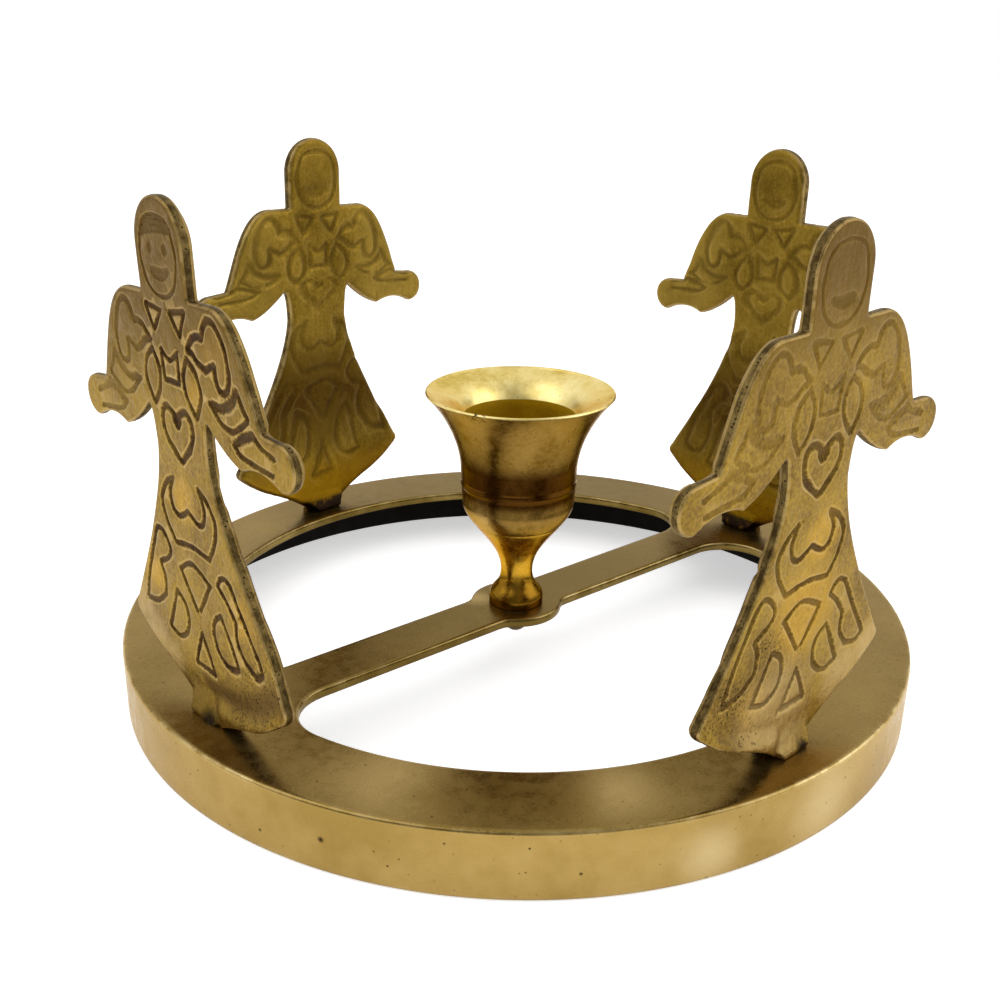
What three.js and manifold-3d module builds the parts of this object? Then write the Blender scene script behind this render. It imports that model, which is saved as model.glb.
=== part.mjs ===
// Taper candle holder in aged brass: four flat angels with outspread arms stand on a flanged ring,
// and a flared candle cup stands on the crossbar that spans the ring.
// Millimetres, +Z up. Origin: centre of the ring's underside, on the table. X runs along the crossbar.

import * as THREE from 'three';
import { mergeVertices } from 'three/addons/utils/BufferGeometryUtils.js';
import Module from 'manifold-3d';

const wasm = await Module();
wasm.setup();

// Base ring: a flat band with a skirt around its outer edge, open underneath
const RING_DIAMETER = 170;
const RING_HEIGHT = 13.5;
const BAND_WIDTH = 17.4;
const PLATE_THICKNESS = 2;
const SKIRT_THICKNESS = 2;
const RING_EDGE_CHAMFER = 0.5;

// Crossbar, cast in one with the ring
const BAR_WIDTH = 12.4;
const BAR_BOSS_DIAMETER = 20;
const BAR_RING_FILLET = 10;
const BAR_BOSS_FILLET = 4;
const BAR_ROOT = 4;

// Candle cup, heights above the crossbar
const CUP_HEIGHT = 48.8;
const CUP_RIM_DIAMETER = 40.2;
const CUP_LIP = 0.9;
const CUP_FLARE_START = 33.2;
const CUP_FLARE_SWELL = 0.45;
const CUP_SHOULDER_HEIGHT = 24.3;
const CUP_BEAD_BOTTOM = 27.9;
const CUP_BEAD_HEIGHT = 1.2;
const CUP_BEAD_RISE = 0.35;
const CUP_WALL = 0.9;
const CUP_WAIST_DIAMETER = 7;
const CUP_WAIST_HEIGHT = 7.6;
const CUP_FOOT_DIAMETER = 12;
const CUP_FOOT_EDGE = 1.3;
const BORE_DIAMETER = 22.6;
const BORE_MOUTH_DIAMETER = 24.2;
const BORE_FLOOR = 26;
const BORE_TOP = 43.3;

// How each angel stands, in degrees, a little off its quarter of the ring as fitted by hand:
// turned around the ring, twisted on its foot, leaning outward and tilted towards the next angel
const ANGEL_STANCES = [
  { turn: -2.9, twist: 1.2, lean: 2.5, tilt: 0.9 },
  { turn: 2.3, twist: 5.4, lean: 1.3, tilt: -1.9 },
  { turn: 0.7, twist: 0.5, lean: 0.8, tilt: -2.4 },
  { turn: -1.9, twist: 3.8, lean: 1.3, tilt: -1.2 },
];

// Angels: flat castings, measured from the middle of the foot
const ANGEL_INSET = 10;
const ANGEL_HEIGHT = 94.3;
const ANGEL_THICKNESS = 2.6;
const ANGEL_EDGE_CHAMFER = 0.4;
const HEAD_WIDTH = 16;
const NECK_HEIGHT = 78.1;
const SHOULDER_WIDTH = 29;
const SLEEVE_BEND_LOW = [24.4, 65.5];
const SLEEVE_BEND_HIGH = [22, 77.4];
const WRIST_SPAN = 54.4;
const WRIST_HEIGHT = 59.8;
const ARM_SPAN = 72;
const HAND_WIDTH = 7.8;
const HAND_HEIGHT = 55.5;
const CUFF_SPAN = 40.6;
const CUFF_HEIGHT = 52.4;
const CUFF_BEND = [26, 54.8];
const UNDERARM_BEND = [15.8, 53.6];
const ARMPIT_SPAN = 21.6;
const ARMPIT_HEIGHT = 58;
const ARMPIT_BEND = [8.9, 59.4];
const WAIST_WIDTH = 17.4;
const WAIST_HEIGHT = 51;
const SKIRT_BEND_LOW = [19.8, 25.6];
const SKIRT_BEND_HIGH = [10, 40];
const SKIRT_WIDTH = 53.4;
const SKIRT_CORNER_HEIGHT = 14;
const SKIRT_CORNER_ROUND = 1.6;
const HEM_LIFT = 3.6;

// Flared foot under each angel
const FOOT_WIDTH = 12;
const FOOT_DEPTH = 7;
const FOOT_SOLE = 0.9;
const FOOT_HEIGHT = 7.5;
const FOOT_CREST = 1.6;
const FOOT_HOLLOW = [1.5, 2.4];

// Round-headed screws driven from below
const CUP_SCREW = { diameter: 4, head: 6.6, headHeight: 5.4, grip: 4.4 };
const ANGEL_SCREW = { diameter: 3, head: 5.6, headHeight: 1.9, grip: 2.9 };
const SCREW_CLEARANCE = 0.3;
const SCREW_HOLE_SPARE = 0.5;
const CUT_OVERRUN = 1;

// Facets
const RING_SEGMENTS = 96;
const CUP_SEGMENTS = 40;
const SCREW_SEGMENTS = 16;
const DOME_STEPS = 3;
const CURVE_STEPS = 5;

const ringRadius = RING_DIAMETER / 2;
const openingRadius = ringRadius - BAND_WIDTH;
const plateUnderside = RING_HEIGHT - PLATE_THICKNESS;
const angelRadius = ringRadius - ANGEL_INSET;
const boreRadius = BORE_DIAMETER / 2;

const castBrass = new THREE.MeshStandardMaterial({ color: 0x9c8256, roughness: 0.42, metalness: 1 });
const reliefBrass = new THREE.MeshStandardMaterial({ color: 0xa38455, roughness: 0.5, metalness: 1 });
const turnedBrass = new THREE.MeshStandardMaterial({ color: 0xb8894a, roughness: 0.22, metalness: 1 });
const screwBrass = new THREE.MeshStandardMaterial({ color: 0x8a6f42, roughness: 0.4, metalness: 1 });

// A closed three.js geometry as a solid that can be joined and cut
function toSolid(geometry) {
  const bare = geometry.clone();
  bare.deleteAttribute('normal');
  bare.deleteAttribute('uv');
  const merged = mergeVertices(bare);
  return new wasm.Manifold(new wasm.Mesh({
    numProp: 3,
    vertProperties: new Float32Array(merged.attributes.position.array),
    triVerts: new Uint32Array(merged.index.array),
  }));
}

function toGeometry(solid) {
  const { vertProperties, triVerts } = solid.getMesh();
  const geometry = new THREE.BufferGeometry();
  geometry.setAttribute('position', new THREE.BufferAttribute(new Float32Array(vertProperties), 3));
  geometry.setIndex(new THREE.BufferAttribute(new Uint32Array(triVerts), 1));
  geometry.computeVertexNormals();
  return geometry;
}

// A profile of [radius, height] points turned about Z
function turned(profile, segments) {
  const points = profile.map(([radius, height]) => new THREE.Vector2(radius, height));
  return new THREE.LatheGeometry(points, segments).rotateX(Math.PI / 2);
}

// A shape extruded upward from one height to another
function raised(shape, bottom, top) {
  const geometry = new THREE.ExtrudeGeometry(shape, {
    depth: top - bottom,
    bevelEnabled: false,
    curveSegments: CURVE_STEPS * 2,
  });
  return geometry.translate(0, 0, bottom);
}

// A hole cutter about Z at a place in the plan
function hole(radius, x, y, bottom, top) {
  const cutter = new THREE.CylinderGeometry(radius, radius, top - bottom, SCREW_SEGMENTS);
  return toSolid(cutter.rotateX(Math.PI / 2).translate(x, y, (bottom + top) / 2));
}

function holeRadius(screw) {
  return screw.diameter / 2 + SCREW_CLEARANCE;
}

// Where an angel's foot stands around the ring
function angelAngle(index) {
  const quarter = (index * 2 * Math.PI) / ANGEL_STANCES.length;
  return quarter + THREE.MathUtils.degToRad(ANGEL_STANCES[index].turn);
}

// L-shaped section of the ring: top band and outer skirt
function ringSolid() {
  const skirtInside = ringRadius - SKIRT_THICKNESS;
  const profile = [
    [skirtInside, 0],
    [ringRadius, 0],
    [ringRadius, RING_HEIGHT - RING_EDGE_CHAMFER],
    [ringRadius - RING_EDGE_CHAMFER, RING_HEIGHT],
    [openingRadius, RING_HEIGHT],
    [openingRadius, plateUnderside],
    [skirtInside, plateUnderside],
    [skirtInside, 0],
  ];
  return toSolid(turned(profile, RING_SEGMENTS));
}

// Plan of one quarter of the crossbar's edge, from the ring's fillet to the boss
function barQuarter() {
  const halfWidth = BAR_WIDTH / 2;
  const bossRadius = BAR_BOSS_DIAMETER / 2;
  const ringReach = openingRadius - BAR_RING_FILLET;
  const ringFilletY = halfWidth + BAR_RING_FILLET;
  const ringFilletX = Math.sqrt(ringReach ** 2 - ringFilletY ** 2);
  const ringAngle = Math.atan2(ringFilletY, ringFilletX);
  const bossReach = bossRadius + BAR_BOSS_FILLET;
  const bossFilletY = halfWidth + BAR_BOSS_FILLET;
  const bossFilletX = Math.sqrt(bossReach ** 2 - bossFilletY ** 2);
  const bossAngle = Math.atan2(bossFilletY, bossFilletX);
  const rootRadius = openingRadius + BAR_ROOT;

  const path = new THREE.Path();
  path.absarc(0, 0, rootRadius, 0, ringAngle, false);
  path.lineTo(openingRadius * Math.cos(ringAngle), openingRadius * Math.sin(ringAngle));
  path.absarc(ringFilletX, ringFilletY, BAR_RING_FILLET, ringAngle, -Math.PI / 2, true);
  path.absarc(bossFilletX, bossFilletY, BAR_BOSS_FILLET, -Math.PI / 2, bossAngle - Math.PI, true);
  path.absarc(0, 0, bossRadius, bossAngle, Math.PI / 2, false);
  return path.getPoints(CURVE_STEPS);
}

// The quarter mirrored into a whole crossbar
function barShape() {
  const quarter = barQuarter();
  const mirrored = (scaleX, scaleY) => quarter.map((p) => new THREE.Vector2(p.x * scaleX, p.y * scaleY));
  return new THREE.Shape([
    ...mirrored(1, 1),
    ...mirrored(-1, 1).reverse().slice(1),
    ...mirrored(-1, -1).slice(1),
    ...mirrored(1, -1).reverse().slice(1, -1),
  ]);
}

function baseRing() {
  const bar = toSolid(raised(barShape(), plateUnderside, RING_HEIGHT));
  const cutFrom = plateUnderside - CUT_OVERRUN;
  const cutTo = RING_HEIGHT + CUT_OVERRUN;
  let solid = ringSolid().add(bar).subtract(hole(holeRadius(CUP_SCREW), 0, 0, cutFrom, cutTo));
  for (let i = 0; i < ANGEL_STANCES.length; i += 1) {
    const x = angelRadius * Math.cos(angelAngle(i));
    const y = angelRadius * Math.sin(angelAngle(i));
    solid = solid.subtract(hole(holeRadius(ANGEL_SCREW), x, y, cutFrom, cutTo));
  }
  return toGeometry(solid);
}

// Turned outline of the cup: foot, cove to the waist, swelling stem, wall with its bead, and flare
function cupOutside() {
  const footRadius = CUP_FOOT_DIAMETER / 2;
  const waistRadius = CUP_WAIST_DIAMETER / 2;
  const shoulderRadius = boreRadius + CUP_WALL;
  const flareRadius = shoulderRadius + CUP_FLARE_SWELL;
  const rimRadius = CUP_RIM_DIAMETER / 2;
  const coveRise = CUP_WAIST_HEIGHT - CUP_FOOT_EDGE;
  const stemRise = CUP_SHOULDER_HEIGHT - CUP_WAIST_HEIGHT;
  const flareRise = CUP_HEIGHT - CUP_FLARE_START;
  const flareSpread = rimRadius - flareRadius;
  const beadTop = CUP_BEAD_BOTTOM + CUP_BEAD_HEIGHT;
  const beadMiddle = CUP_BEAD_BOTTOM + CUP_BEAD_HEIGHT / 2;
  const wallRadius = (height) => THREE.MathUtils.mapLinear(
    height, CUP_SHOULDER_HEIGHT, CUP_FLARE_START, shoulderRadius, flareRadius,
  );

  const path = new THREE.Path();
  path.moveTo(footRadius, 0);
  path.lineTo(footRadius, CUP_FOOT_EDGE);
  path.bezierCurveTo(
    footRadius, CUP_FOOT_EDGE + coveRise * 0.46,
    waistRadius, CUP_WAIST_HEIGHT - coveRise * 0.45,
    waistRadius, CUP_WAIST_HEIGHT,
  );
  path.bezierCurveTo(
    waistRadius, CUP_WAIST_HEIGHT + stemRise * 0.43,
    shoulderRadius, CUP_SHOULDER_HEIGHT - stemRise * 0.28,
    shoulderRadius, CUP_SHOULDER_HEIGHT,
  );
  path.lineTo(wallRadius(CUP_BEAD_BOTTOM), CUP_BEAD_BOTTOM);
  path.quadraticCurveTo(
    wallRadius(beadMiddle) + CUP_BEAD_RISE * 2, beadMiddle,
    wallRadius(beadTop), beadTop,
  );
  path.lineTo(flareRadius, CUP_FLARE_START);
  path.bezierCurveTo(
    flareRadius + flareSpread * 0.1, CUP_FLARE_START + flareRise * 0.37,
    flareRadius + flareSpread * 0.5, CUP_FLARE_START + flareRise * 0.72,
    rimRadius, CUP_HEIGHT,
  );
  return path.getPoints(CURVE_STEPS).map((p) => [p.x, p.y]);
}

// Inside of the cup, from the lip down the flare to the tapered bore and its flat floor
function cupInside() {
  const lipRadius = CUP_RIM_DIAMETER / 2 - CUP_LIP;
  const mouthRadius = BORE_MOUTH_DIAMETER / 2;
  const flareRise = CUP_HEIGHT - BORE_TOP;
  const flareSpread = lipRadius - mouthRadius;
  const path = new THREE.Path();
  path.moveTo(lipRadius, CUP_HEIGHT);
  path.quadraticCurveTo(
    mouthRadius + flareSpread * 0.3, CUP_HEIGHT - flareRise * 0.34,
    mouthRadius, BORE_TOP,
  );
  path.lineTo(boreRadius, BORE_FLOOR);
  path.lineTo(0, BORE_FLOOR);
  return path.getPoints(CURVE_STEPS).map((p) => [p.x, p.y]);
}

function candleCup() {
  const socketRadius = holeRadius(CUP_SCREW);
  const socketDepth = CUP_SCREW.grip + SCREW_HOLE_SPARE;
  const socket = [[0, socketDepth], [socketRadius, socketDepth], [socketRadius, 0]];
  return turned([...socket, ...cupOutside(), ...cupInside()], CUP_SEGMENTS);
}

// Right half of an angel's outline, from the middle of the hem up to the crown
function angelHalf() {
  const skirtHalf = SKIRT_WIDTH / 2;
  const waistHalf = WAIST_WIDTH / 2;
  const handRadius = HAND_WIDTH / 2;
  const handX = ARM_SPAN / 2 - handRadius;
  const headRadius = HEAD_WIDTH / 2;
  const hemX = skirtHalf - SKIRT_CORNER_ROUND;
  const hemRise = SKIRT_CORNER_HEIGHT - SKIRT_CORNER_ROUND - HEM_LIFT;
  const hemRadius = (hemX ** 2 + hemRise ** 2) / (2 * hemRise);
  const hemAngle = Math.asin(hemX / hemRadius);

  const path = new THREE.Path();
  path.absarc(0, HEM_LIFT + hemRadius, hemRadius, -Math.PI / 2, hemAngle - Math.PI / 2, false);
  path.quadraticCurveTo(
    skirtHalf + SKIRT_CORNER_ROUND / 2, SKIRT_CORNER_HEIGHT,
    skirtHalf - SKIRT_CORNER_ROUND / 2, SKIRT_CORNER_HEIGHT + SKIRT_CORNER_ROUND,
  );
  path.bezierCurveTo(...SKIRT_BEND_LOW, ...SKIRT_BEND_HIGH, waistHalf, WAIST_HEIGHT);
  path.quadraticCurveTo(...ARMPIT_BEND, ARMPIT_SPAN / 2, ARMPIT_HEIGHT);
  path.quadraticCurveTo(...UNDERARM_BEND, CUFF_SPAN / 2, CUFF_HEIGHT);
  path.quadraticCurveTo(...CUFF_BEND, handX, HAND_HEIGHT - handRadius);
  path.absarc(handX, HAND_HEIGHT, handRadius, -Math.PI / 2, Math.PI / 2, false);
  path.lineTo(WRIST_SPAN / 2, WRIST_HEIGHT);
  path.bezierCurveTo(...SLEEVE_BEND_LOW, ...SLEEVE_BEND_HIGH, SHOULDER_WIDTH / 2, NECK_HEIGHT);
  path.lineTo(headRadius, NECK_HEIGHT);
  path.absarc(0, ANGEL_HEIGHT - headRadius, headRadius, 0, Math.PI / 2, false);
  return path.getPoints(CURVE_STEPS);
}

function angelShape() {
  const right = angelHalf();
  const left = right.slice(1, -1).reverse().map((p) => new THREE.Vector2(-p.x, p.y));
  return new THREE.Shape([...right, ...left]);
}

// Standing plate with chamfered edges, facing -Y and leaning a little that way
function angelPlate(stance) {
  const flat = new THREE.ExtrudeGeometry(angelShape(), {
    depth: ANGEL_THICKNESS - 2 * ANGEL_EDGE_CHAMFER,
    bevelThickness: ANGEL_EDGE_CHAMFER,
    bevelSize: ANGEL_EDGE_CHAMFER,
    bevelOffset: -ANGEL_EDGE_CHAMFER,
    bevelSegments: 1,
  });
  flat.translate(0, 0, ANGEL_EDGE_CHAMFER - ANGEL_THICKNESS / 2);
  flat.rotateZ(-THREE.MathUtils.degToRad(stance.tilt));
  return flat.rotateX(Math.PI / 2 + THREE.MathUtils.degToRad(stance.lean));
}

// Foot that flares to the front and to the back under the plate
function angelFoot() {
  const halfDepth = FOOT_DEPTH / 2;
  const halfCrest = FOOT_CREST / 2;
  const [hollowX, hollowY] = FOOT_HOLLOW;
  const section = new THREE.Shape();
  section.moveTo(-halfDepth, 0);
  section.lineTo(halfDepth, 0);
  section.lineTo(halfDepth, FOOT_SOLE);
  section.quadraticCurveTo(hollowX, hollowY, halfCrest, FOOT_HEIGHT);
  section.lineTo(-halfCrest, FOOT_HEIGHT);
  section.quadraticCurveTo(-hollowX, hollowY, -halfDepth, FOOT_SOLE);
  const foot = raised(section, -FOOT_WIDTH / 2, FOOT_WIDTH / 2);
  return foot.rotateX(Math.PI / 2).rotateZ(Math.PI / 2);
}

function angelGeometry(stance) {
  const tappedDepth = ANGEL_SCREW.grip + SCREW_HOLE_SPARE;
  const tapped = hole(holeRadius(ANGEL_SCREW), 0, 0, -CUT_OVERRUN, tappedDepth);
  return toGeometry(toSolid(angelPlate(stance)).add(toSolid(angelFoot())).subtract(tapped));
}

// Screw with its domed head below z = 0 and its shank above
function screwGeometry(screw) {
  const headRadius = screw.head / 2;
  const shankRadius = screw.diameter / 2;
  const length = PLATE_THICKNESS + screw.grip;
  const dome = new THREE.Path();
  dome.moveTo(0, -screw.headHeight);
  dome.quadraticCurveTo(headRadius, -screw.headHeight, headRadius, 0);
  const profile = dome.getPoints(DOME_STEPS).map((p) => [p.x, p.y]);
  return turned([...profile, [shankRadius, 0], [shankRadius, length], [0, length]], SCREW_SEGMENTS);
}

function piece(name, geometry, material) {
  const mesh = new THREE.Mesh(geometry, material);
  mesh.name = name;
  return mesh;
}

const holder = new THREE.Group();
holder.add(piece('base_ring', baseRing(), castBrass));

const cup = piece('candle_cup', candleCup(), turnedBrass);
cup.position.z = RING_HEIGHT;
holder.add(cup);

const cupScrew = piece('cup_screw', screwGeometry(CUP_SCREW), screwBrass);
cupScrew.position.z = plateUnderside;
holder.add(cupScrew);

const angelScrewModel = screwGeometry(ANGEL_SCREW);
ANGEL_STANCES.forEach((stance, i) => {
  const station = new THREE.Group();
  station.rotation.z = angelAngle(i) + Math.PI / 2;

  const angel = piece(`angel_${i + 1}`, angelGeometry(stance), reliefBrass);
  angel.position.set(0, -angelRadius, RING_HEIGHT);
  angel.rotation.z = THREE.MathUtils.degToRad(stance.twist);
  station.add(angel);

  const screw = piece(`angel_screw_${i + 1}`, angelScrewModel, screwBrass);
  screw.position.set(0, -angelRadius, plateUnderside);
  station.add(screw);

  holder.add(station);
});

export default holder;
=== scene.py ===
import math

import bpy
import numpy as np
from mathutils import Matrix, Vector
from mathutils import noise as field
from mathutils.geometry import delaunay_2d_cdt
from mathutils.kdtree import KDTree


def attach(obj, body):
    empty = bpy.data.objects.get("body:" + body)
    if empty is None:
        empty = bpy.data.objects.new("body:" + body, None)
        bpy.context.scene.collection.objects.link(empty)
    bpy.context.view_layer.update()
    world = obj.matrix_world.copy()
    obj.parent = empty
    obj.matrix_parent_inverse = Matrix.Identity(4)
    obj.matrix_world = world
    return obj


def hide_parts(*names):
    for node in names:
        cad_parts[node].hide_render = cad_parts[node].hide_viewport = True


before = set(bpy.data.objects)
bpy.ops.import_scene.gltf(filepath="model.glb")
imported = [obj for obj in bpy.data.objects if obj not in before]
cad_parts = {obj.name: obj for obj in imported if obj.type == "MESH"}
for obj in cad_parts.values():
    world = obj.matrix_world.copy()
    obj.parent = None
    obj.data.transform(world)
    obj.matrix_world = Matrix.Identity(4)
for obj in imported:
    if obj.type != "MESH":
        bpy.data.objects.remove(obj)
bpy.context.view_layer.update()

# Aged brass candle holder: engraved angels on a flanged ring around a polished candle cup.
# Lengths are in millimetres until a mesh is made. Colours are as the eye reads them, 0 to 255.
MM = 0.001
QUARTER_TURN = math.pi / 2
SAME_POINT = 1e-6

# Base ring and crossbar
RING_RADIUS = 85.0
RING_HEIGHT = 13.5
RING_EDGE_ROUND = 0.55
OPENING_RADIUS = 67.6
OPENING_EDGE_ROUND = 0.45
PLATE_UNDERSIDE = RING_HEIGHT - 2.0
SKIRT_THICKNESS = 2.0
SKIRT_BEVEL = 0.4
BAR_HALF_WIDTH = 6.2
BOSS_RADIUS = 10.0
BAR_RING_FILLET = 10.0
BAR_BOSS_FILLET = 4.0
RING_STEPS = 288
OPENING_STEP = 1.2

# Section of the skirt: inset from the ring's radius, height, how hidden and how worn it is
SKIRT_SECTION = (
    (SKIRT_THICKNESS, PLATE_UNDERSIDE, 1, 0),
    (SKIRT_THICKNESS, SKIRT_BEVEL, 1, 0),
    (SKIRT_THICKNESS - SKIRT_BEVEL, 0.0, 0.8, 0),
    (SKIRT_BEVEL, 0.0, 0.3, 0),
    (0.0, SKIRT_BEVEL, 0, 0.2),
    (0.0, 3 * SKIRT_BEVEL, 0, 0),
    (0.0, RING_HEIGHT - RING_EDGE_ROUND - 0.5, 0, 0),
    (0.0, RING_HEIGHT - RING_EDGE_ROUND, 0, 0.15),
    (0.3 * RING_EDGE_ROUND, RING_HEIGHT - 0.3 * RING_EDGE_ROUND, 0, 1),
    (RING_EDGE_ROUND, RING_HEIGHT, 0, 0.15),
    (RING_EDGE_ROUND + 0.6, RING_HEIGHT, 0, 0),
)
# Section of an opening's wall: distance outside the opening, height, how hidden, how worn, how much a wall
OPENING_SECTION = (
    (OPENING_EDGE_ROUND + 0.6, RING_HEIGHT, 0, 0, 0),
    (OPENING_EDGE_ROUND, RING_HEIGHT, 0, 0.05, 0),
    (0.3 * OPENING_EDGE_ROUND, RING_HEIGHT - 0.3 * OPENING_EDGE_ROUND, 0, 0.5, 0.4),
    (0.0, RING_HEIGHT - OPENING_EDGE_ROUND, 0, 0.1, 1),
    (0.0, PLATE_UNDERSIDE + 0.3, 0, 0, 1),
    (0.25, PLATE_UNDERSIDE, 0.6, 0, 1),
    (0.9, PLATE_UNDERSIDE, 1, 0, 1),
)

# Candle cup, heights above the crossbar. Bends are shares of the width or height of their curve.
CUP_STEPS = 160
CUP_HEIGHT = 48.8
CUP_RIM_RADIUS = 20.1
CUP_LIP = 0.9
CUP_FLARE_START = 33.2
CUP_FLARE_SWELL = 0.45
CUP_FLARE_BENDS = ((0.1, 0.37), (0.5, 0.72))
CUP_SHOULDER_HEIGHT = 24.3
CUP_SHOULDER_RADIUS = 12.2
CUP_STEM_BENDS = (0.43, 0.28)
CUP_BEAD_BOTTOM = 27.9
CUP_BEAD_HEIGHT = 1.2
CUP_BEAD_RISE = 0.18
CUP_LINE_HEIGHT = 19.4
CUP_LINE_DEPTH = 0.14
CUP_LINE_WIDTH = 0.2
CUP_WAIST_RADIUS = 3.5
CUP_WAIST_HEIGHT = 7.6
CUP_COVE_BENDS = (0.42, 0.6)
CUP_FOOT_RADIUS = 6.0
CUP_FOOT_EDGE = 1.3
CUP_FOOT_ROUND = 0.3
CUP_THROAT_BEND = (0.3, 0.34)
BORE_RADIUS = 11.3
BORE_FLOOR = 26.0
BORE_CORNER = 0.5
BORE_MOUTH_RADIUS = 12.1
BORE_MOUTH_STEP = (0.05, 0.1)
BORE_TOP = 43.3

# Screws driven from below: shank radius, head radius, head height, length above the head
CUP_SCREW = (2.0, 3.3, 5.4, 6.4)
ANGEL_SCREW = (1.5, 2.8, 1.9, 4.9)
SCREW_STEPS = 48
SLOT_WIDTH = 0.9
SLOT_DEPTH = 0.9
BOX_FACES = ((0, 1, 3, 2), (4, 6, 7, 5), (0, 4, 5, 1), (2, 3, 7, 6), (0, 2, 6, 4), (1, 5, 7, 3))

# How each angel stands, in degrees: turn about the ring, twist about its foot, lean, tilt in its plane
ANGEL_STANCES = ((-2.9, 1.2, 2.5, 0.9), (2.3, 5.4, 1.3, -1.9), (0.7, 0.5, 0.8, -2.4), (-1.9, 3.8, 1.3, -1.2))
ANGEL_RADIUS = 75.0

# Angel plates, (across, up) from the middle of the foot
ANGEL_HEIGHT = 94.3
ANGEL_HALF_THICKNESS = 1.3
OUTER_EDGE_ROUND = 0.5
INNER_EDGE_ROUND = 1.1
HEAD_RADIUS = 8.0
NECK_HEIGHT = 78.1
SHOULDER_HALF = 14.5
SLEEVE_BENDS = ((24.4, 65.5), (22.0, 77.4))
WRIST = (27.2, 59.8)
HAND_RADIUS = 3.9
HAND_CENTRE = (32.1, 55.5)
CUFF = (20.3, 52.4)
CUFF_BEND = (26.0, 54.8)
UNDERARM_BEND = (15.8, 53.6)
ARMPIT = (10.8, 58.0)
ARMPIT_BEND = (8.9, 59.4)
WAIST = (8.7, 51.0)
SKIRT_BENDS = ((19.8, 25.6), (10.0, 40.0))
SKIRT_HALF = 26.7
SKIRT_CORNER_HEIGHT = 14.0
SKIRT_CORNER_ROUND = 1.6
HEM_LIFT = 3.6
HEM_HALF = SKIRT_HALF - SKIRT_CORNER_ROUND
HEM_RISE = SKIRT_CORNER_HEIGHT - SKIRT_CORNER_ROUND - HEM_LIFT
HEM_RADIUS = (HEM_HALF ** 2 + HEM_RISE ** 2) / (2 * HEM_RISE)

# The flared foot, and how it fades into the plate at its sides
SOLE_HALF = 4.2
FOOT_BEND = (5.8, 2.2)
FOOT_TOP_HALF = 14.0
FOOT_SPREAD = 0.75
FOOT_HALF_DEPTH = 3.5
FOOT_SOLE = 0.9
FOOT_HEIGHT = 7.5
FOOT_HALF_CREST = 0.8
FOOT_HOLLOW = (1.5, 2.4)
FOOT_FADE = (0.3, -1.0)
FOOT_ROUND_SHARE = 0.6

# The thick lip that some moulds left along half a hem, and the sag of that half
LIP_START = 2.0
LIP_END = 26.0
LIP_FADE = 4.0
LIP_LEVELS = (3.0, 0.4)
LIP_DEPTH = 1.3
SAG_HEIGHT = 10.0
SAG_POWER = 0.8

# Mesh of an angel: steps along its outline, loops just inside it, and clearances of the plain parts
OUTLINE_STEP = 0.5
FINE_STEP = 0.1
EDGE_LOOPS = (0.22, 0.55, 1.0)
LOOP_SHARE = 0.8
LOOP_CLEARANCE = 0.15
PLAIN_STEP = 1.0
PLAIN_MARGIN = 11
LINE_CLEARANCE = 0.6
CLOSEST_POINTS = 0.16
RIM_SHARES = (0.15, 0.4, 0.6, 0.85)
RIM_BULGE = 0.5
RIM_ROUGHNESS = 0.18
RIM_GRAIN = 0.9

# Engraving: half the width of a line, points across it, and its depth and softness outside and inside
LINE_HALF_WIDTH = 0.56
LINE_STEP = 0.4
LINE_POINTS = (0.0, 0.45, 0.95, 1.45)
OUTER_DEPTH = 0.42
OUTER_GROOVE = (1.15, 0.45)
OUTER_PLAIN_LOSS = 0.6
INNER_DEPTH = 0.4
INNER_GROOVE = (2.1, 0.2)
FAR_FROM_LINES = 4.0
# On the inner faces the ornament of the body sits higher than outside
INNER_LIFT = 4.5
INNER_LIFT_RISE = (14, 28)
INNER_LIFT_FALL = (64, 54)

# Slow waves of a hand-finished casting: amount, scale, and offset for each angel and for the first
OUTER_LINE_WAVES = (0.3, 0.35, 5.1, 0.0)
OUTER_FACE_WAVES = (0.07, 0.11, 7.3, 0.0)
OUTER_DARK_WAVES = (0.3, 0.12, 1.0, 20.5)
INNER_LINE_WAVES = (0.5, 0.2, 5.1, 2.2)
INNER_FACE_WAVES = (0.22, 0.2, 7.3, 4.4)
INNER_DARK_WAVES = (0.9, 0.13, 0.0, 3.7)

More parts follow.
